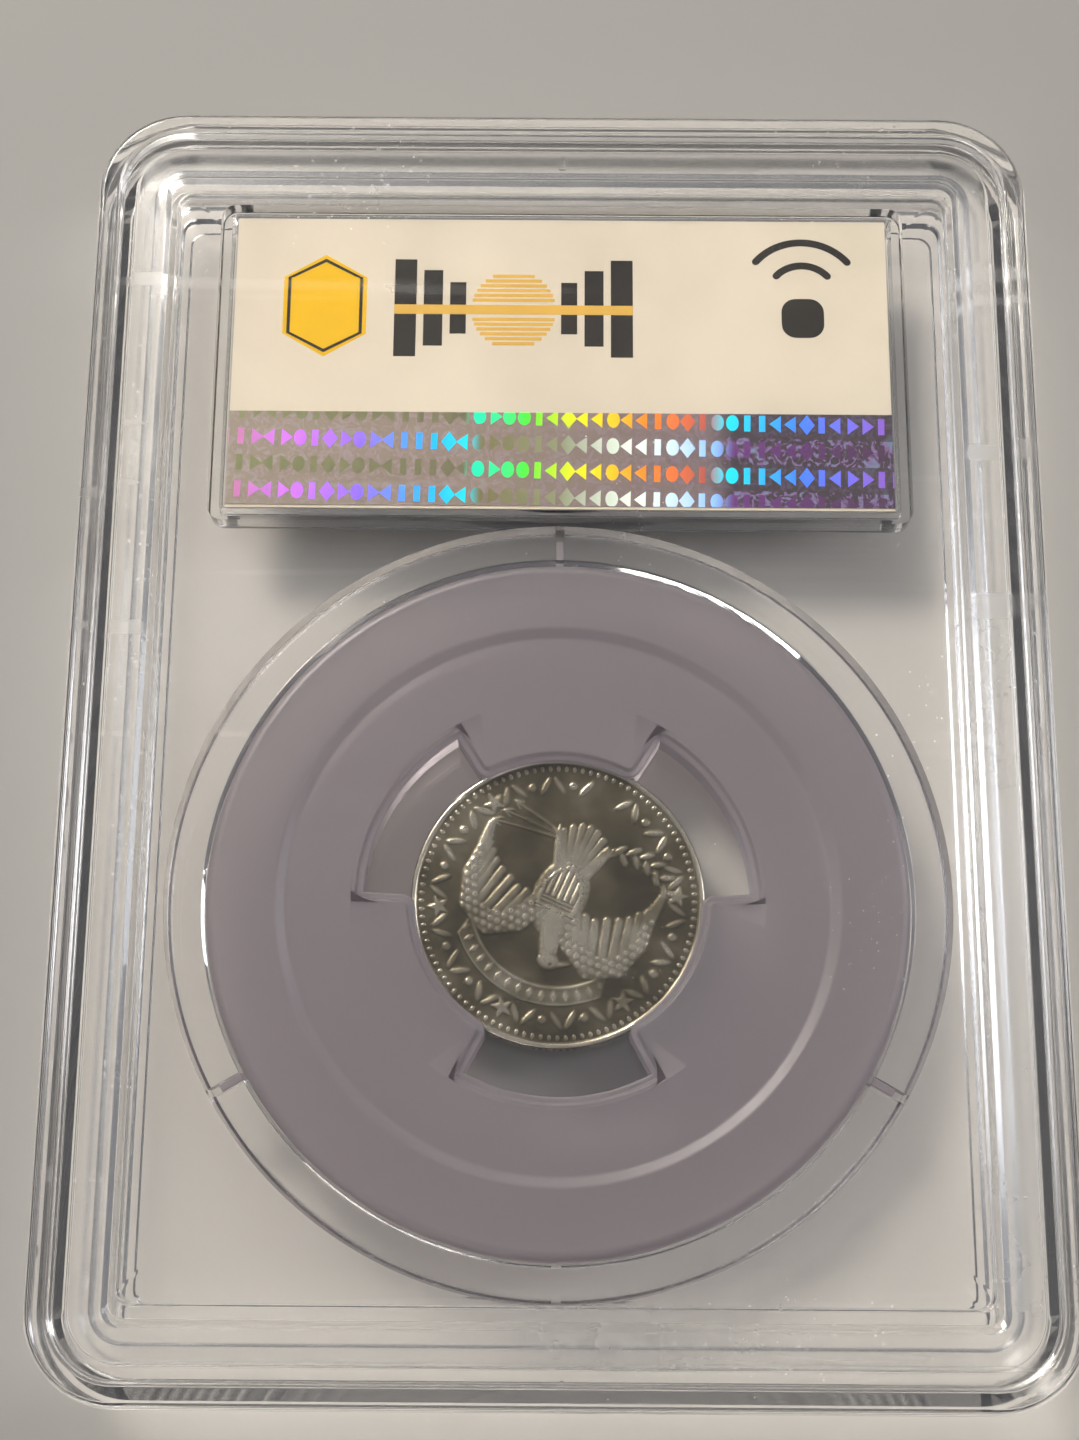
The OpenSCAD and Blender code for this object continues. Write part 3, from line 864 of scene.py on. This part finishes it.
def bird_relief(x, y):
    """A plain heraldic bird of no particular coinage: shield, branch, arrows and ribbon."""
    r = np.hypot(x, y)
    around = np.degrees(np.arctan2(y, x)) % 360
    height = np.maximum(wing_relief(x, y), wing_relief(-x, y))
    for i in range(7):
        tip = ((i - 3) * 0.52, -5.2 + 0.1 * (i - 3) ** 2)
        tail = dome(to_capsule(x, y, ((i - 3) * 0.18, -2.2), tip, 0.2, 0.26), 0.16, 0.06)
        height = np.maximum(height, tail)
    body = dome(to_ellipse(x, y, (0, -0.3), 1.75, 2.7), 0.9, 0.085)
    height = np.maximum(height, body + 0.02 * scales(x, y, 0.4) * (body > 0.03))
    neck = dome(to_capsule(x, y, (-0.2, 1.0), (-0.75, 3.3), 0.95, 0.55), 0.5, 0.09)
    height = np.maximum(height, neck + 0.02 * scales(x, y, 0.36) * (neck > 0.03))
    height = np.maximum(height, dome(to_ellipse(x, y, (-1.0, 3.75), 0.72, 0.6), 0.4, 0.1))
    height = np.maximum(height, dome(to_capsule(x, y, (-1.5, 3.8), (-2.3, 3.45), 0.26, 0.08), 0.2, 0.08))
    height -= dome(to_ellipse(x, y, (-1.2, 3.9), 0.14, 0.12), 0.1, 0.05)
    for side in (-1, 1):
        foot = (side * 1.7, -4.0)
        leg = to_capsule(x, y, (side * 0.8, -2.2), foot, 0.5, 0.22)
        height = np.maximum(height, dome(leg, 0.25, 0.07))
        for claw in (-50, -10, 30):
            turn = math.radians(claw - 60)
            tip = (foot[0] + 0.6 * math.cos(turn) * side, foot[1] + 0.6 * math.sin(turn))
            height = np.maximum(height, dome(to_capsule(x, y, foot, tip, 0.14, 0.07), 0.1, 0.07))
    shield = to_polygon(x, y, [(-1.3, 0.7), (-1.35, -0.9), (-0.9, -1.9), (0, -2.6), (0.9, -1.9),
                               (1.35, -0.9), (1.3, 0.7)])
    plate = dome(shield, 0.12, 0.075) + 0.045 * (np.abs(shield + 0.12) < 0.09)
    stripes = np.where(y > -0.15, np.cos(2 * math.pi * y / 0.24), np.cos(2 * math.pi * x / 0.42))
    inside = np.clip((-shield - 0.22) / 0.06, 0, 1)
    height = np.where(shield < 0, plate + 0.035 * stripes * inside, height)
    for i in range(3):
        root, tip = (1.2, -3.9 - 0.12 * i), (6.0 - 0.4 * i, -3.2 - 0.85 * i)
        height = np.maximum(height, dome(to_capsule(x, y, root, tip, 0.07, 0.07), 0.07, 0.05))
        turn = math.atan2(tip[1] - root[1], tip[0] - root[0])
        for barb in (-1, 1):
            back = turn + math.pi - barb * 0.5
            end = (tip[0] + 0.6 * math.cos(back), tip[1] + 0.6 * math.sin(back))
            height = np.maximum(height, dome(to_capsule(x, y, tip, end, 0.08, 0.05), 0.07, 0.06))
    stem = [(-1.2, -4.1), (-3.0, -4.6), (-4.8, -4.1), (-6.3, -3.0)]
    for start, end in zip(stem, stem[1:]):
        height = np.maximum(height, dome(to_capsule(x, y, start, end, 0.09, 0.07), 0.08, 0.05))
    for i in range(11):
        share = (i + 0.5) / 11
        spot = np.array([-1.8 - 4.6 * share, -4.3 - 1.0 * math.sin(math.pi * share) + 1.2 * share])
        side = 1 if i % 2 else -1
        lean = 180 - 25 * share - side * 48
        centre = spot + 0.45 * np.array([math.cos(math.radians(lean)), math.sin(math.radians(lean))])
        height = np.maximum(height, dome(to_ellipse(x, y, centre, 0.55, 0.2, lean), 0.14, 0.07))
    ribbon = np.maximum(np.abs(r - 6.1) - 0.62, np.abs(around - 90) / 57.3 * r - 5.6)
    band = dome(ribbon, 0.1, 0.035) + 0.03 * (np.abs(ribbon + 0.1) < 0.07)
    lozenge = np.abs((around / 7.2) % 1 - 0.5) * 1.5 + np.abs(r - 6.1) * 0.9
    height = np.maximum(height, band + 0.04 * np.clip((0.42 - lozenge) * 6, 0, 1) * (ribbon < -0.2))
    return height


def legend_relief(x, y, count, gap_angle, gap_width):
    """A ring of small plain ornaments: bars, dots and stars in turn, with a gap if it has a width."""
    height = np.zeros_like(x)
    for i in range(count):
        angle = 360 * i / count
        if abs((angle - gap_angle + 180) % 360 - 180) < gap_width:
            continue
        turn = math.radians(angle)
        spot = (LEGEND_R * math.cos(turn), LEGEND_R * math.sin(turn))
        if i % 9 == 4:
            shape = star_distance(x, y, spot, 0.72, turn=turn)
        elif i % 3 == 1:
            shape = to_ellipse(x, y, spot, 0.27, 0.27)
        else:
            lean = angle + (32 if i % 3 else -32)
            shape = to_ellipse(x, y, spot, 0.68, 0.2, lean)
        height = np.maximum(height, dome(shape, 0.15, 0.06))
    return height


def wreath_relief(x, y):
    """The hidden face: a laurel wreath round a star."""
    height = dome(star_distance(x, y, (0, 0), 3.2, 6, math.pi / 2), 0.9, 0.09)
    for side in (-1, 1):
        for i in range(13):
            angle = math.radians(-80 + 155 * i / 12)
            spot = np.array([side * 5.6 * math.cos(angle), 5.6 * math.sin(angle)])
            along = math.degrees(angle) + 90
            for lean, reach in ((28, 0.35), (-28, -0.35)):
                turn = along + lean
                push = 0.5 * reach / 0.35
                centre = spot * (1 + 0.07 * push)
                tilt = turn if side > 0 else 180 - turn
                height = np.maximum(height, dome(to_ellipse(x, y, centre, 0.8, 0.26, tilt), 0.2, 0.07))
    return height


def coin_face(x, y, design):
    """Height of one struck face, measured from the top of its rim."""
    r = np.hypot(x, y)
    rim = np.clip((r - RIM_START_R) / 0.08, 0, 1)
    shoulder = np.clip((COIN_R - r) / 0.09, 0, 1)
    relief = design(x, y)
    dish = 0.02 * (r / COIN_R) ** 2
    height = -FIELD_DROP + dish + np.clip(relief, -0.03, 0.1) * 0.95
    height = np.where(r > LEGEND_END_R, -FIELD_DROP + dish, height)
    height = height + (0 - height) * rim
    return height - 0.09 * (1 - np.sqrt(np.clip(1 - (1 - shoulder) ** 2, 0, 1)))


def disc_grid(count):
    """A square grid of points drawn out to a round disc of radius 1, row by row."""
    line = np.linspace(-1, 1, count + 1)
    a, b = np.meshgrid(line, line)
    wide = np.abs(a) > np.abs(b)
    radius = np.where(wide, a, b)
    with np.errstate(divide="ignore", invalid="ignore"):
        ratio = np.where(wide, b / np.where(a == 0, 1, a), a / np.where(b == 0, 1, b))
    turn = np.where(wide, math.pi / 4 * ratio, math.pi / 2 - math.pi / 4 * ratio)
    return radius * np.cos(turn), radius * np.sin(turn)


def back_design(x, y):
    """What is struck on the face that shows."""
    return np.maximum(bird_relief(x, y), legend_relief(x, y, 54, 270, 10))


def front_design(x, y):
    """What is struck on the hidden face."""
    return np.maximum(wreath_relief(x, y), legend_relief(x, y, 45, 90, 0))


def struck_coin():
    """The coin: two struck faces and a reeded edge, as one closed solid."""
    n = COIN_GRID + 1
    u, v = disc_grid(COIN_GRID)
    x, y = u * COIN_R, v * COIN_R
    half_t = (COIN_HIGH.z - COIN_LOW.z) / 2
    turn = math.radians(COIN_TURN)
    world_x = x * math.cos(turn) - y * math.sin(turn)
    world_y = x * math.sin(turn) + y * math.cos(turn)
    points, relief = [], []
    for side, design in ((1, back_design), (-1, front_design)):
        height = coin_face(x * side, y, design)
        z = side * (half_t + height)
        points.append(np.stack([world_x, world_y + WELL_Y, PARTING_Z + z], -1).reshape(-1, 3))
        relief.append(np.clip((height + FIELD_DROP) / RELIEF_SPAN, 0, 1).reshape(-1))
    index = np.arange(n * n).reshape(n, n)
    corners = np.stack([index[:-1, :-1], index[:-1, 1:], index[1:, 1:], index[1:, :-1]], -1)
    top = corners.reshape(-1, 4)
    bottom = top[:, ::-1] + n * n
    border = np.concatenate([index[0, :-1], index[:-1, -1], index[-1, :0:-1], index[:0:-1, 0]])
    angle = np.arctan2(world_y.reshape(-1)[border], world_x.reshape(-1)[border])
    depth = REED_DEPTH * (0.5 - 0.5 * np.cos(REEDS * angle))
    edge_rows = ((half_t - 0.2, 0.0), (half_t - 0.26, 1.0),
                 (-half_t + 0.26, 1.0), (-half_t + 0.2, 0.0))
    for z, cut in edge_rows:
        reach = COIN_R - depth * cut
        ring = np.stack([reach * np.cos(angle), WELL_Y + reach * np.sin(angle),
                         np.full_like(angle, PARTING_Z + z)], -1)
        points.append(ring)
        relief.append(1 - 0.7 * cut * depth / REED_DEPTH)
    count = len(border)
    start = 2 * n * n
    rows = [border] + [start + k * count + np.arange(count) for k in range(len(edge_rows))]
    rows.append(border + n * n)
    sides = []
    for upper, lower in zip(rows, rows[1:]):
        sides.append(np.stack([upper, lower, np.roll(lower, -1), np.roll(upper, -1)], -1))
    faces = np.concatenate([top, bottom, *sides])
    mesh = bpy.data.meshes.new("struck_coin")
    mesh.from_pydata((np.concatenate(points) * MM).tolist(), [], faces.tolist())
    layer = mesh.attributes.new("relief", "FLOAT", "POINT")
    layer.data.foreach_set("value", np.concatenate(relief).astype(np.float32))
    mesh.validate()
    mesh.update()
    mesh.shade_smooth()
    coin = bpy.data.objects.new("struck_coin", mesh)
    scene.collection.objects.link(coin)
    return coin


# ---------------------------------------------------------------- repeated pieces

SOCKET_KINDS = {int: "NodeSocketInt", float: "NodeSocketFloat", tuple: "NodeSocketVector"}


def geometry_tree(name, inputs):
    """An empty geometry tree with named inputs; returns (tree, what its inputs give, its end)."""
    tree = bpy.data.node_groups.new(name, "GeometryNodeTree")
    for title, value in inputs.items():
        kind = SOCKET_KINDS[type(value)]
        socket = tree.interface.new_socket(title, in_out="INPUT", socket_type=kind)
        socket.default_value = value
    tree.interface.new_socket("Geometry", in_out="OUTPUT", socket_type="NodeSocketGeometry")
    return tree, tree.nodes.new("NodeGroupInput").outputs, tree.nodes.new("NodeGroupOutput")


def baked_tree(name, tree, **values):
    """Runs a geometry tree on an empty mesh, with its named inputs set, and keeps the result."""
    piece = bpy.data.objects.new(name, bpy.data.meshes.new(name))
    scene.collection.objects.link(piece)
    modifier = piece.modifiers.new(name, "NODES")
    modifier.node_group = tree
    for item in tree.interface.items_tree:
        title = item.name.replace(" ", "_")
        if getattr(item, "in_out", "") == "INPUT" and title in values:
            modifier[item.identifier] = values[title]
    view = bpy.context.evaluated_depsgraph_get()
    mesh = bpy.data.meshes.new_from_object(piece.evaluated_get(view), depsgraph=view)
    piece.modifiers.clear()
    piece.data = mesh
    return piece


def bead_ring_tree():
    """Beads set round a circle, each drawn out along its own radius."""
    tree, given, leave = geometry_tree("bead_ring", {
        "Radius": 0.0088, "Count": 100, "Length": 0.0003, "Width": 0.0002, "Height": 0.0001,
        "Centre": (0, 0, 0),
    })
    add = node_maker(tree)
    loop = add("GeometryNodeCurvePrimitiveCircle", Resolution=given["Count"],
               Radius=given["Radius"])
    spots = add("GeometryNodeCurveToPoints", Curve=loop, Count=given["Count"])
    bead = add("GeometryNodeMeshUVSphere", Segments=8, Rings=5, Radius=1.0)
    sizes = add("ShaderNodeCombineXYZ", X=given["Width"], Y=given["Length"], Z=given["Height"])
    place = add("GeometryNodeInputPosition")
    split = add("ShaderNodeSeparateXYZ", Vector=place)
    heading = maths(add, "ARCTAN2", split.outputs["Y"], split.outputs["X"])
    square_on = maths(add, "ADD", heading, math.pi / 2)
    facing = add("ShaderNodeCombineXYZ", Z=square_on)
    beads = add("GeometryNodeInstanceOnPoints", Points=spots, Instance=bead, Rotation=facing,
                Scale=sizes)
    moved = add("GeometryNodeTransform", Geometry=beads, Translation=given["Centre"])
    real = add("GeometryNodeRealizeInstances", Geometry=moved)
    soft = add("GeometryNodeSetShadeSmooth", Geometry=real)
    done = add("GeometryNodeSetMaterial", Geometry=soft, Material=SILVER)
    tree.links.new(done.outputs["Geometry"], leave.inputs["Geometry"])
    return tree


def coin_beads():
    """The beaded border inside the rim, on each face of the coin."""
    tree = bead_ring_tree()
    half_t = (COIN_HIGH.z - COIN_LOW.z) / 2
    for side, name in ((1, "coin_beads_back"), (-1, "coin_beads_front")):
        z = PARTING_Z + side * (half_t - FIELD_DROP)
        beads = baked_tree(name, tree, Radius=BEAD_R * MM, Count=BEADS, Length=0.22 * MM,
                           Width=0.15 * MM, Height=0.06 * MM, Centre=(0, WELL_Y * MM, z * MM))
        layer = beads.data.attributes.new("relief", "FLOAT", "POINT")
        layer.data.foreach_set("value", np.full(len(beads.data.vertices), 0.62, np.float32))
        finish_piece(beads, SILVER, "toned_silver", "coin")


def mark_rows_tree():
    """Rows of plain marks: discs, bars and wedges picked at random, with regular lozenges."""
    tree, given, leave = geometry_tree("hologram_mark_rows", {
        "Length": 0.045, "Pitch": 0.001, "Columns": 44, "Rows": 5, "Row Pitch": 0.0019,
        "Width": 0.0009, "Height": 0.0012, "Thickness": 0.00001, "Turn": 0.0, "Every": 8,
        "Seed": 4, "Centre": (0, 0, 0),
    })
    add = node_maker(tree)
    rows_less = maths(add, "SUBTRACT", given["Rows"], 1.0)
    tall = maths(add, "MULTIPLY", rows_less, given["Row Pitch"])
    grid = add("GeometryNodeMeshGrid", Size_X=given["Length"], Size_Y=tall,
               Vertices_X=given["Columns"], Vertices_Y=given["Rows"])
    place = add("GeometryNodeInputPosition")
    split = add("ShaderNodeSeparateXYZ", Vector=place)
    column = maths(add, "DIVIDE", split.outputs["X"], given["Pitch"])
    number = maths(add, "FLOOR", column)
    turn_of = maths(add, "FLOORED_MODULO", number, given["Every"])
    marked = add("FunctionNodeCompare", {"data_type": "FLOAT", "operation": "LESS_THAN"},
                 i0=turn_of, i1=0.5)
    kind = add("FunctionNodeRandomValue", {"data_type": "INT"}, ID=number, Seed=given["Seed"])
    kind.inputs[4].default_value, kind.inputs[5].default_value = 1, 4
    choice = add("GeometryNodeSwitch", {"input_type": "INT"}, i0=marked, i1=kind.outputs[2], i2=0)
    shapes = add("GeometryNodeJoinGeometry")
    for sides, radius, turn in ((16, 0.5, 0), (3, 0.6, 180), (3, 0.6, 0), (0, 0, 0), (4, 0.62, 0)):
        if sides:
            shape = add("GeometryNodeMeshCylinder", Vertices=sides, Radius=radius, Depth=1.0)
        else:
            shape = add("GeometryNodeMeshCube", Size=(0.5, 1, 1))
        turned = add("GeometryNodeTransform", Geometry=shape, Rotation=(0, 0, math.radians(turn)))
        single = add("GeometryNodeGeometryToInstance")
        tree.links.new(turned.outputs["Geometry"], single.inputs[0])
        tree.links.new(single.outputs["Instances"], shapes.inputs[0])
    size = add("ShaderNodeCombineXYZ", X=given["Width"], Y=given["Height"], Z=given["Thickness"])
    marks = add("GeometryNodeInstanceOnPoints", Points=grid, Instance=shapes, Pick_Instance=True,
                Instance_Index=choice.outputs[0], Scale=size)
    heading = add("ShaderNodeCombineXYZ", Z=given["Turn"])
    moved = add("GeometryNodeTransform", Geometry=marks,
                Translation=given["Centre"], Rotation=heading)
    real = add("GeometryNodeRealizeInstances", Geometry=moved)
    done = add("GeometryNodeSetMaterial", Geometry=real, Material=HOLOGRAM_MARKS)
    tree.links.new(done.outputs["Geometry"], leave.inputs["Geometry"])
    return tree


def trimmed(piece, low, high):
    """Cuts the piece off square at the strip's edges and closes the cuts."""
    work = bmesh.new()
    work.from_mesh(piece.data)
    cuts = (((low.x, 0, 0), (-1, 0, 0)), ((high.x, 0, 0), (1, 0, 0)),
            ((0, low.y, 0), (0, -1, 0)), ((0, high.y, 0), (0, 1, 0)))
    for spot, normal in cuts:
        parts = work.verts[:] + work.edges[:] + work.faces[:]
        cut = bmesh.ops.bisect_plane(work, geom=parts, plane_co=Vector(spot) * MM,
                                     plane_no=normal, clear_outer=True)
        rims = [e for e in cut["geom_cut"] if isinstance(e, bmesh.types.BMEdge)]
        bmesh.ops.edgeloop_fill(work, edges=[e for e in rims if e.is_boundary])
    bmesh.ops.recalc_face_normals(work, faces=work.faces)
    work.to_mesh(piece.data)
    work.free()
    return piece


def hologram_marks():
    """Slightly skewed rows of marks on the strip, cut off where they run past its edges."""
    pitch = 1.0
    columns = 46
    middle = (STRIP_LOW + STRIP_HIGH) / 2
    thickness = 0.012
    tree = mark_rows_tree()
    marks = baked_tree(
        "hologram_marks", tree, Length=(columns - 1) * pitch * MM, Pitch=pitch * MM,
        Columns=columns, Rows=4, Row_Pitch=ROW_PITCH * MM, Width=0.86 * MM, Height=1.16 * MM,
        Thickness=thickness * MM, Turn=STRIP_SKEW, Every=8, Seed=4,
        Centre=(0, (middle.y + 0.1) * MM, (STRIP_HIGH.z + thickness * 0.3) * MM),
    )
    trimmed(marks, STRIP_LOW, STRIP_HIGH)
    return finish_piece(marks, HOLOGRAM_MARKS, "hologram_foil", "case")


# ---------------------------------------------------------------- print on the label

INK_T = 0.012


def ink(name, outlines, material, z=LABEL_FACE_Z, up=1):
    """Flat printed shapes, each a convex or simple outline in millimetres."""
    points, faces = [], []
    for outline in outlines:
        count, base = len(outline), len(points)
        bottom, top = z - up * 0.002, z + up * INK_T
        points += [(x, y, bottom) for x, y in outline] + [(x, y, top) for x, y in outline]
        faces.append(tuple(range(base, base + count)))
        faces.append(tuple(range(base + count, base + 2 * count)))
        for i in range(count):
            j = (i + 1) % count
            faces.append((base + i, base + j, base + count + j, base + count + i))
    piece = new_piece(name, points, faces)
    return finish_piece(piece, material, "label_paper", "case")


def moved(outline, x, y):
    """The outline shifted by x and y."""
    return [(a + x, b + y) for a, b in outline]


def rectangle(x0, y0, x1, y1):
    """An upright rectangle between two corners."""
    return [(x0, y0), (x1, y0), (x1, y1), (x0, y1)]


def hexagon(half_w, half_l, shoulder):
    """An upright hexagon whose sides run straight up to the shoulder."""
    return [(0, -half_l), (half_w, -shoulder), (half_w, shoulder), (0, half_l),
            (-half_w, shoulder), (-half_w, -shoulder)]


def arc_stroke(centre, radius, width, start, end, steps=20):
    """A thick arc with round ends."""
    outline = []
    for r, first, last in ((radius + width / 2, start, end), (radius - width / 2, end, start)):
        for i in range(steps + 1):
            turn = math.radians(first + (last - first) * i / steps)
            outline.append((centre[0] + r * math.cos(turn), centre[1] + r * math.sin(turn)))
        tip = math.radians(last)
        middle = (centre[0] + radius * math.cos(tip), centre[1] + radius * math.sin(tip))
        way = 1 if last > first else -1
        for i in range(1, 6):
            if way > 0:
                turn = tip + math.pi * i / 6
            else:
                turn = tip + math.pi + math.pi * i / 6
            outline.append((middle[0] + width / 2 * math.cos(turn),
                            middle[1] + width / 2 * math.sin(turn)))
    return outline


def emblem():
    """A plain gold hexagon with a dark line inside its edge."""
    spot = (-16.15, LABEL_LOW.y + 14.75)
    half_w, half_l, shoulder = 2.85, 3.8, 2.1
    ink("emblem_gold", [moved(hexagon(half_w, half_l, shoulder), *spot)], YELLOW_INK)
    outer = hexagon(half_w - 0.28, half_l - 0.3, shoulder - 0.02)
    inner = hexagon(half_w - 0.5, half_l - 0.55, shoulder - 0.1)
    strokes = []
    for i in range(6):
        j = (i + 1) % 6
        strokes.append(moved([outer[i], outer[j], inner[j], inner[i]], *spot))
    ink("emblem_line", strokes, DARK_INK, LABEL_FACE_Z + INK_T)


def banner():
    """A plain ornament in place of a name: dark bars, a gold disc and a gold line across."""
    x0, x1 = -11.4, 4.9
    low, high = LABEL_LOW.y + 11.0, LABEL_LOW.y + 18.25
    line_low, line_high = LABEL_LOW.y + 14.15, LABEL_LOW.y + 14.85
    bars = []
    for start, width, inset in ((0, 1.5, 0), (2.0, 1.3, 0.8), (3.8, 1.1, 1.7)):
        for a, b in ((low + inset, line_low), (line_high, high - inset)):
            bars.append(rectangle(x0 + start, a, x0 + start + width, b))
            bars.append(rectangle(x1 - start - width, a, x1 - start, b))
    ink("banner_bars", bars, DARK_INK)
    middle = ((x0 + x1) / 2, (line_low + line_high) / 2)
    radius, pitch, count = 2.9, 0.36, 15
    rows = [rectangle(x0, line_low, x1, line_high)]
    for i in range(count):
        y = middle[1] + (i - (count - 1) / 2) * pitch
        half = math.sqrt(radius ** 2 - (y - middle[1]) ** 2)
        if abs(y - middle[1]) > 0.45:
            rows.append(rectangle(middle[0] - half, y - 0.12, middle[0] + half, y + 0.12))
    ink("banner_gold", rows, GOLD_INK)


def contactless_mark():
    """Two waves over a round dot, for the radio tag in the label."""
    spot = (16.5, LABEL_LOW.y + 15.6)
    waves = [arc_stroke(spot, 2.35, 0.52, 42, 138), arc_stroke(spot, 4.1, 0.52, 40, 140)]
    ink("contactless_waves", waves, DARK_INK)
    dot = moved(round_rect(1.45, 1.45, 1.0, 8), spot[0], spot[1] - 1.6)
    ink("contactless_dot", [dot], DARK_INK)


def front_print():
    """The hidden side: plain bars where lines of print would be."""
    z = FRONT_SHEET_LOW.z
    middle = (FRONT_SHEET_LOW.y + FRONT_SHEET_HIGH.y) / 2
    bars = [rectangle(-19, middle + 5 - 3.2 * i, 6 - 4 * (i % 2), middle + 6.6 - 3.2 * i)
            for i in range(4)]
    widths = [0.25 + 0.3 * ((i * 7) % 3) for i in range(16)]
    stripes = []
    x = 9.0
    for width in widths:
        stripes.append(rectangle(x, middle - 6, x + width, middle - 1))
        x += width + 0.25
    ink("front_bars", bars + stripes, DARK_INK, z, -1)


# ---------------------------------------------------------------- stage

FLOOR_HALF = 1.2
FADE_START, FADE_END = 0.16, 0.42  # how far from the middle the floor starts and ends its fade
CAMERA_AIM = Vector((-1.26, -0.64, SLAB_T)) * MM
CAMERA_DISTANCE = 0.13816
CAMERA_ELEVATION, CAMERA_SWING = 74.417, 0.42  # degrees
CAMERA_LENS, SENSOR_W = 54.1, 36

def floor():
    """A pale table top that fades into the backdrop well outside the object."""
    mesh = bpy.data.meshes.new("floor")
    corners = rectangle(-FLOOR_HALF, -FLOOR_HALF, FLOOR_HALF, FLOOR_HALF)
    mesh.from_pydata([(x, y, 0) for x, y in corners], [], [(0, 1, 2, 3)])
    plane = bpy.data.objects.new("floor", mesh)
    scene.collection.objects.link(plane)
    material, add = new_material("pale_floor")
    matt = add("ShaderNodeBsdfPrincipled", Base_Color=(0.47, 0.45, 0.42, 1), Roughness=0.7)
    place = add("ShaderNodeTexCoord").outputs["Object"]
    reach = add("ShaderNodeVectorMath", {"operation": "LENGTH"}, i0=place)
    faded = remap(add, reach, FADE_START, FADE_END, interpolation_type="SMOOTHSTEP")
    clear = add("ShaderNodeBsdfTransparent")
    mixed = add("ShaderNodeMixShader", i0=faded, i1=matt, i2=clear)
    add("ShaderNodeOutputMaterial", Surface=mixed)
    mesh.materials.append(material)


def soft_light(name, spot, size, power, colour):
    """A rectangular lamp at the spot, turned to face the origin."""
    lamp = bpy.data.lights.new(name, "AREA")
    lamp.shape = "RECTANGLE"
    lamp.size, lamp.size_y = size
    lamp.energy = power
    lamp.color = colour
    light = bpy.data.objects.new(name, lamp)
    light.location = spot
    light.rotation_euler = (-Vector(spot)).to_track_quat("-Z", "Y").to_euler()
    scene.collection.objects.link(light)


def lights():
    """Three soft lamps, a dim studio round them, and a plain backdrop that only the camera sees."""
    soft_light("key_softbox", (-0.22, 0.34, 0.36), (0.16, 0.12), 1.9, (1.0, 0.95, 0.87))
    soft_light("side_softbox", (0.42, 0.1, 0.24), (0.1, 0.4), 0.7, (0.93, 0.95, 1.0))
    soft_light("front_softbox", (-0.3, -0.5, 0.3), (0.4, 0.06), 0.55, (1.0, 0.97, 0.93))
    world = bpy.data.worlds.new("studio")
    world.use_nodes = True
    world.node_tree.nodes.clear()
    add = node_maker(world.node_tree)
    way = add("ShaderNodeTexCoord").outputs["Generated"]
    rise = add("ShaderNodeSeparateXYZ", Vector=way).outputs["Z"]
    sky = ramp(add, rise, [(0.0, (0.05, 0.05, 0.055)), (0.45, (0.12, 0.12, 0.13)),
                           (1.0, (0.3, 0.31, 0.34))])
    studio = add("ShaderNodeBackground", Color=sky, Strength=0.75)
    backdrop = add("ShaderNodeBackground", Color=(0.41, 0.395, 0.37, 1), Strength=1.0)
    rays = add("ShaderNodeLightPath")
    seen = add("ShaderNodeMixShader", i0=rays.outputs["Is Camera Ray"], i1=studio, i2=backdrop)
    add("ShaderNodeOutputWorld", Surface=seen)
    scene.world = world
    scene.view_settings.view_transform = "Standard"


def camera():
    """Nearly overhead, from the coin's end, about 14 cm away."""
    up, side = math.radians(CAMERA_ELEVATION), math.radians(CAMERA_SWING)
    away = Vector((math.sin(side) * math.cos(up), -math.cos(side) * math.cos(up), math.sin(up)))
    lens = bpy.data.cameras.new("camera")
    lens.lens = CAMERA_LENS
    lens.sensor_width = SENSOR_W
    lens.clip_start = 0.005
    eye = bpy.data.objects.new("camera", lens)
    eye.location = CAMERA_AIM + CAMERA_DISTANCE * away
    eye.rotation_euler = (-away).to_track_quat("-Z", "Y").to_euler()
    scene.collection.objects.link(eye)
    scene.camera = eye


camera()
lights()
floor()
finish_piece(back_shell(), CLEAR, "clear_shell", "case", "back_shell")
finish_piece(front_shell(), CLEAR, "clear_shell", "case", "front_shell")
finish_piece(coin_holder(), SOFT, "soft_holder", "case", "coin_holder")
finish_piece(struck_coin(), SILVER, "toned_silver", "coin", "coin")
coin_beads()
for node, material in (("label_back_sheet", PAPER), ("label_front_sheet", PAPER),
                       ("tag_film", FILM), ("tag_antenna", FOIL), ("tag_chip", CHIP),
                       ("hologram_strip", HOLOGRAM)):
    finish_node(node, material)
hologram_marks()
emblem()
banner()
contactless_mark()
front_print()
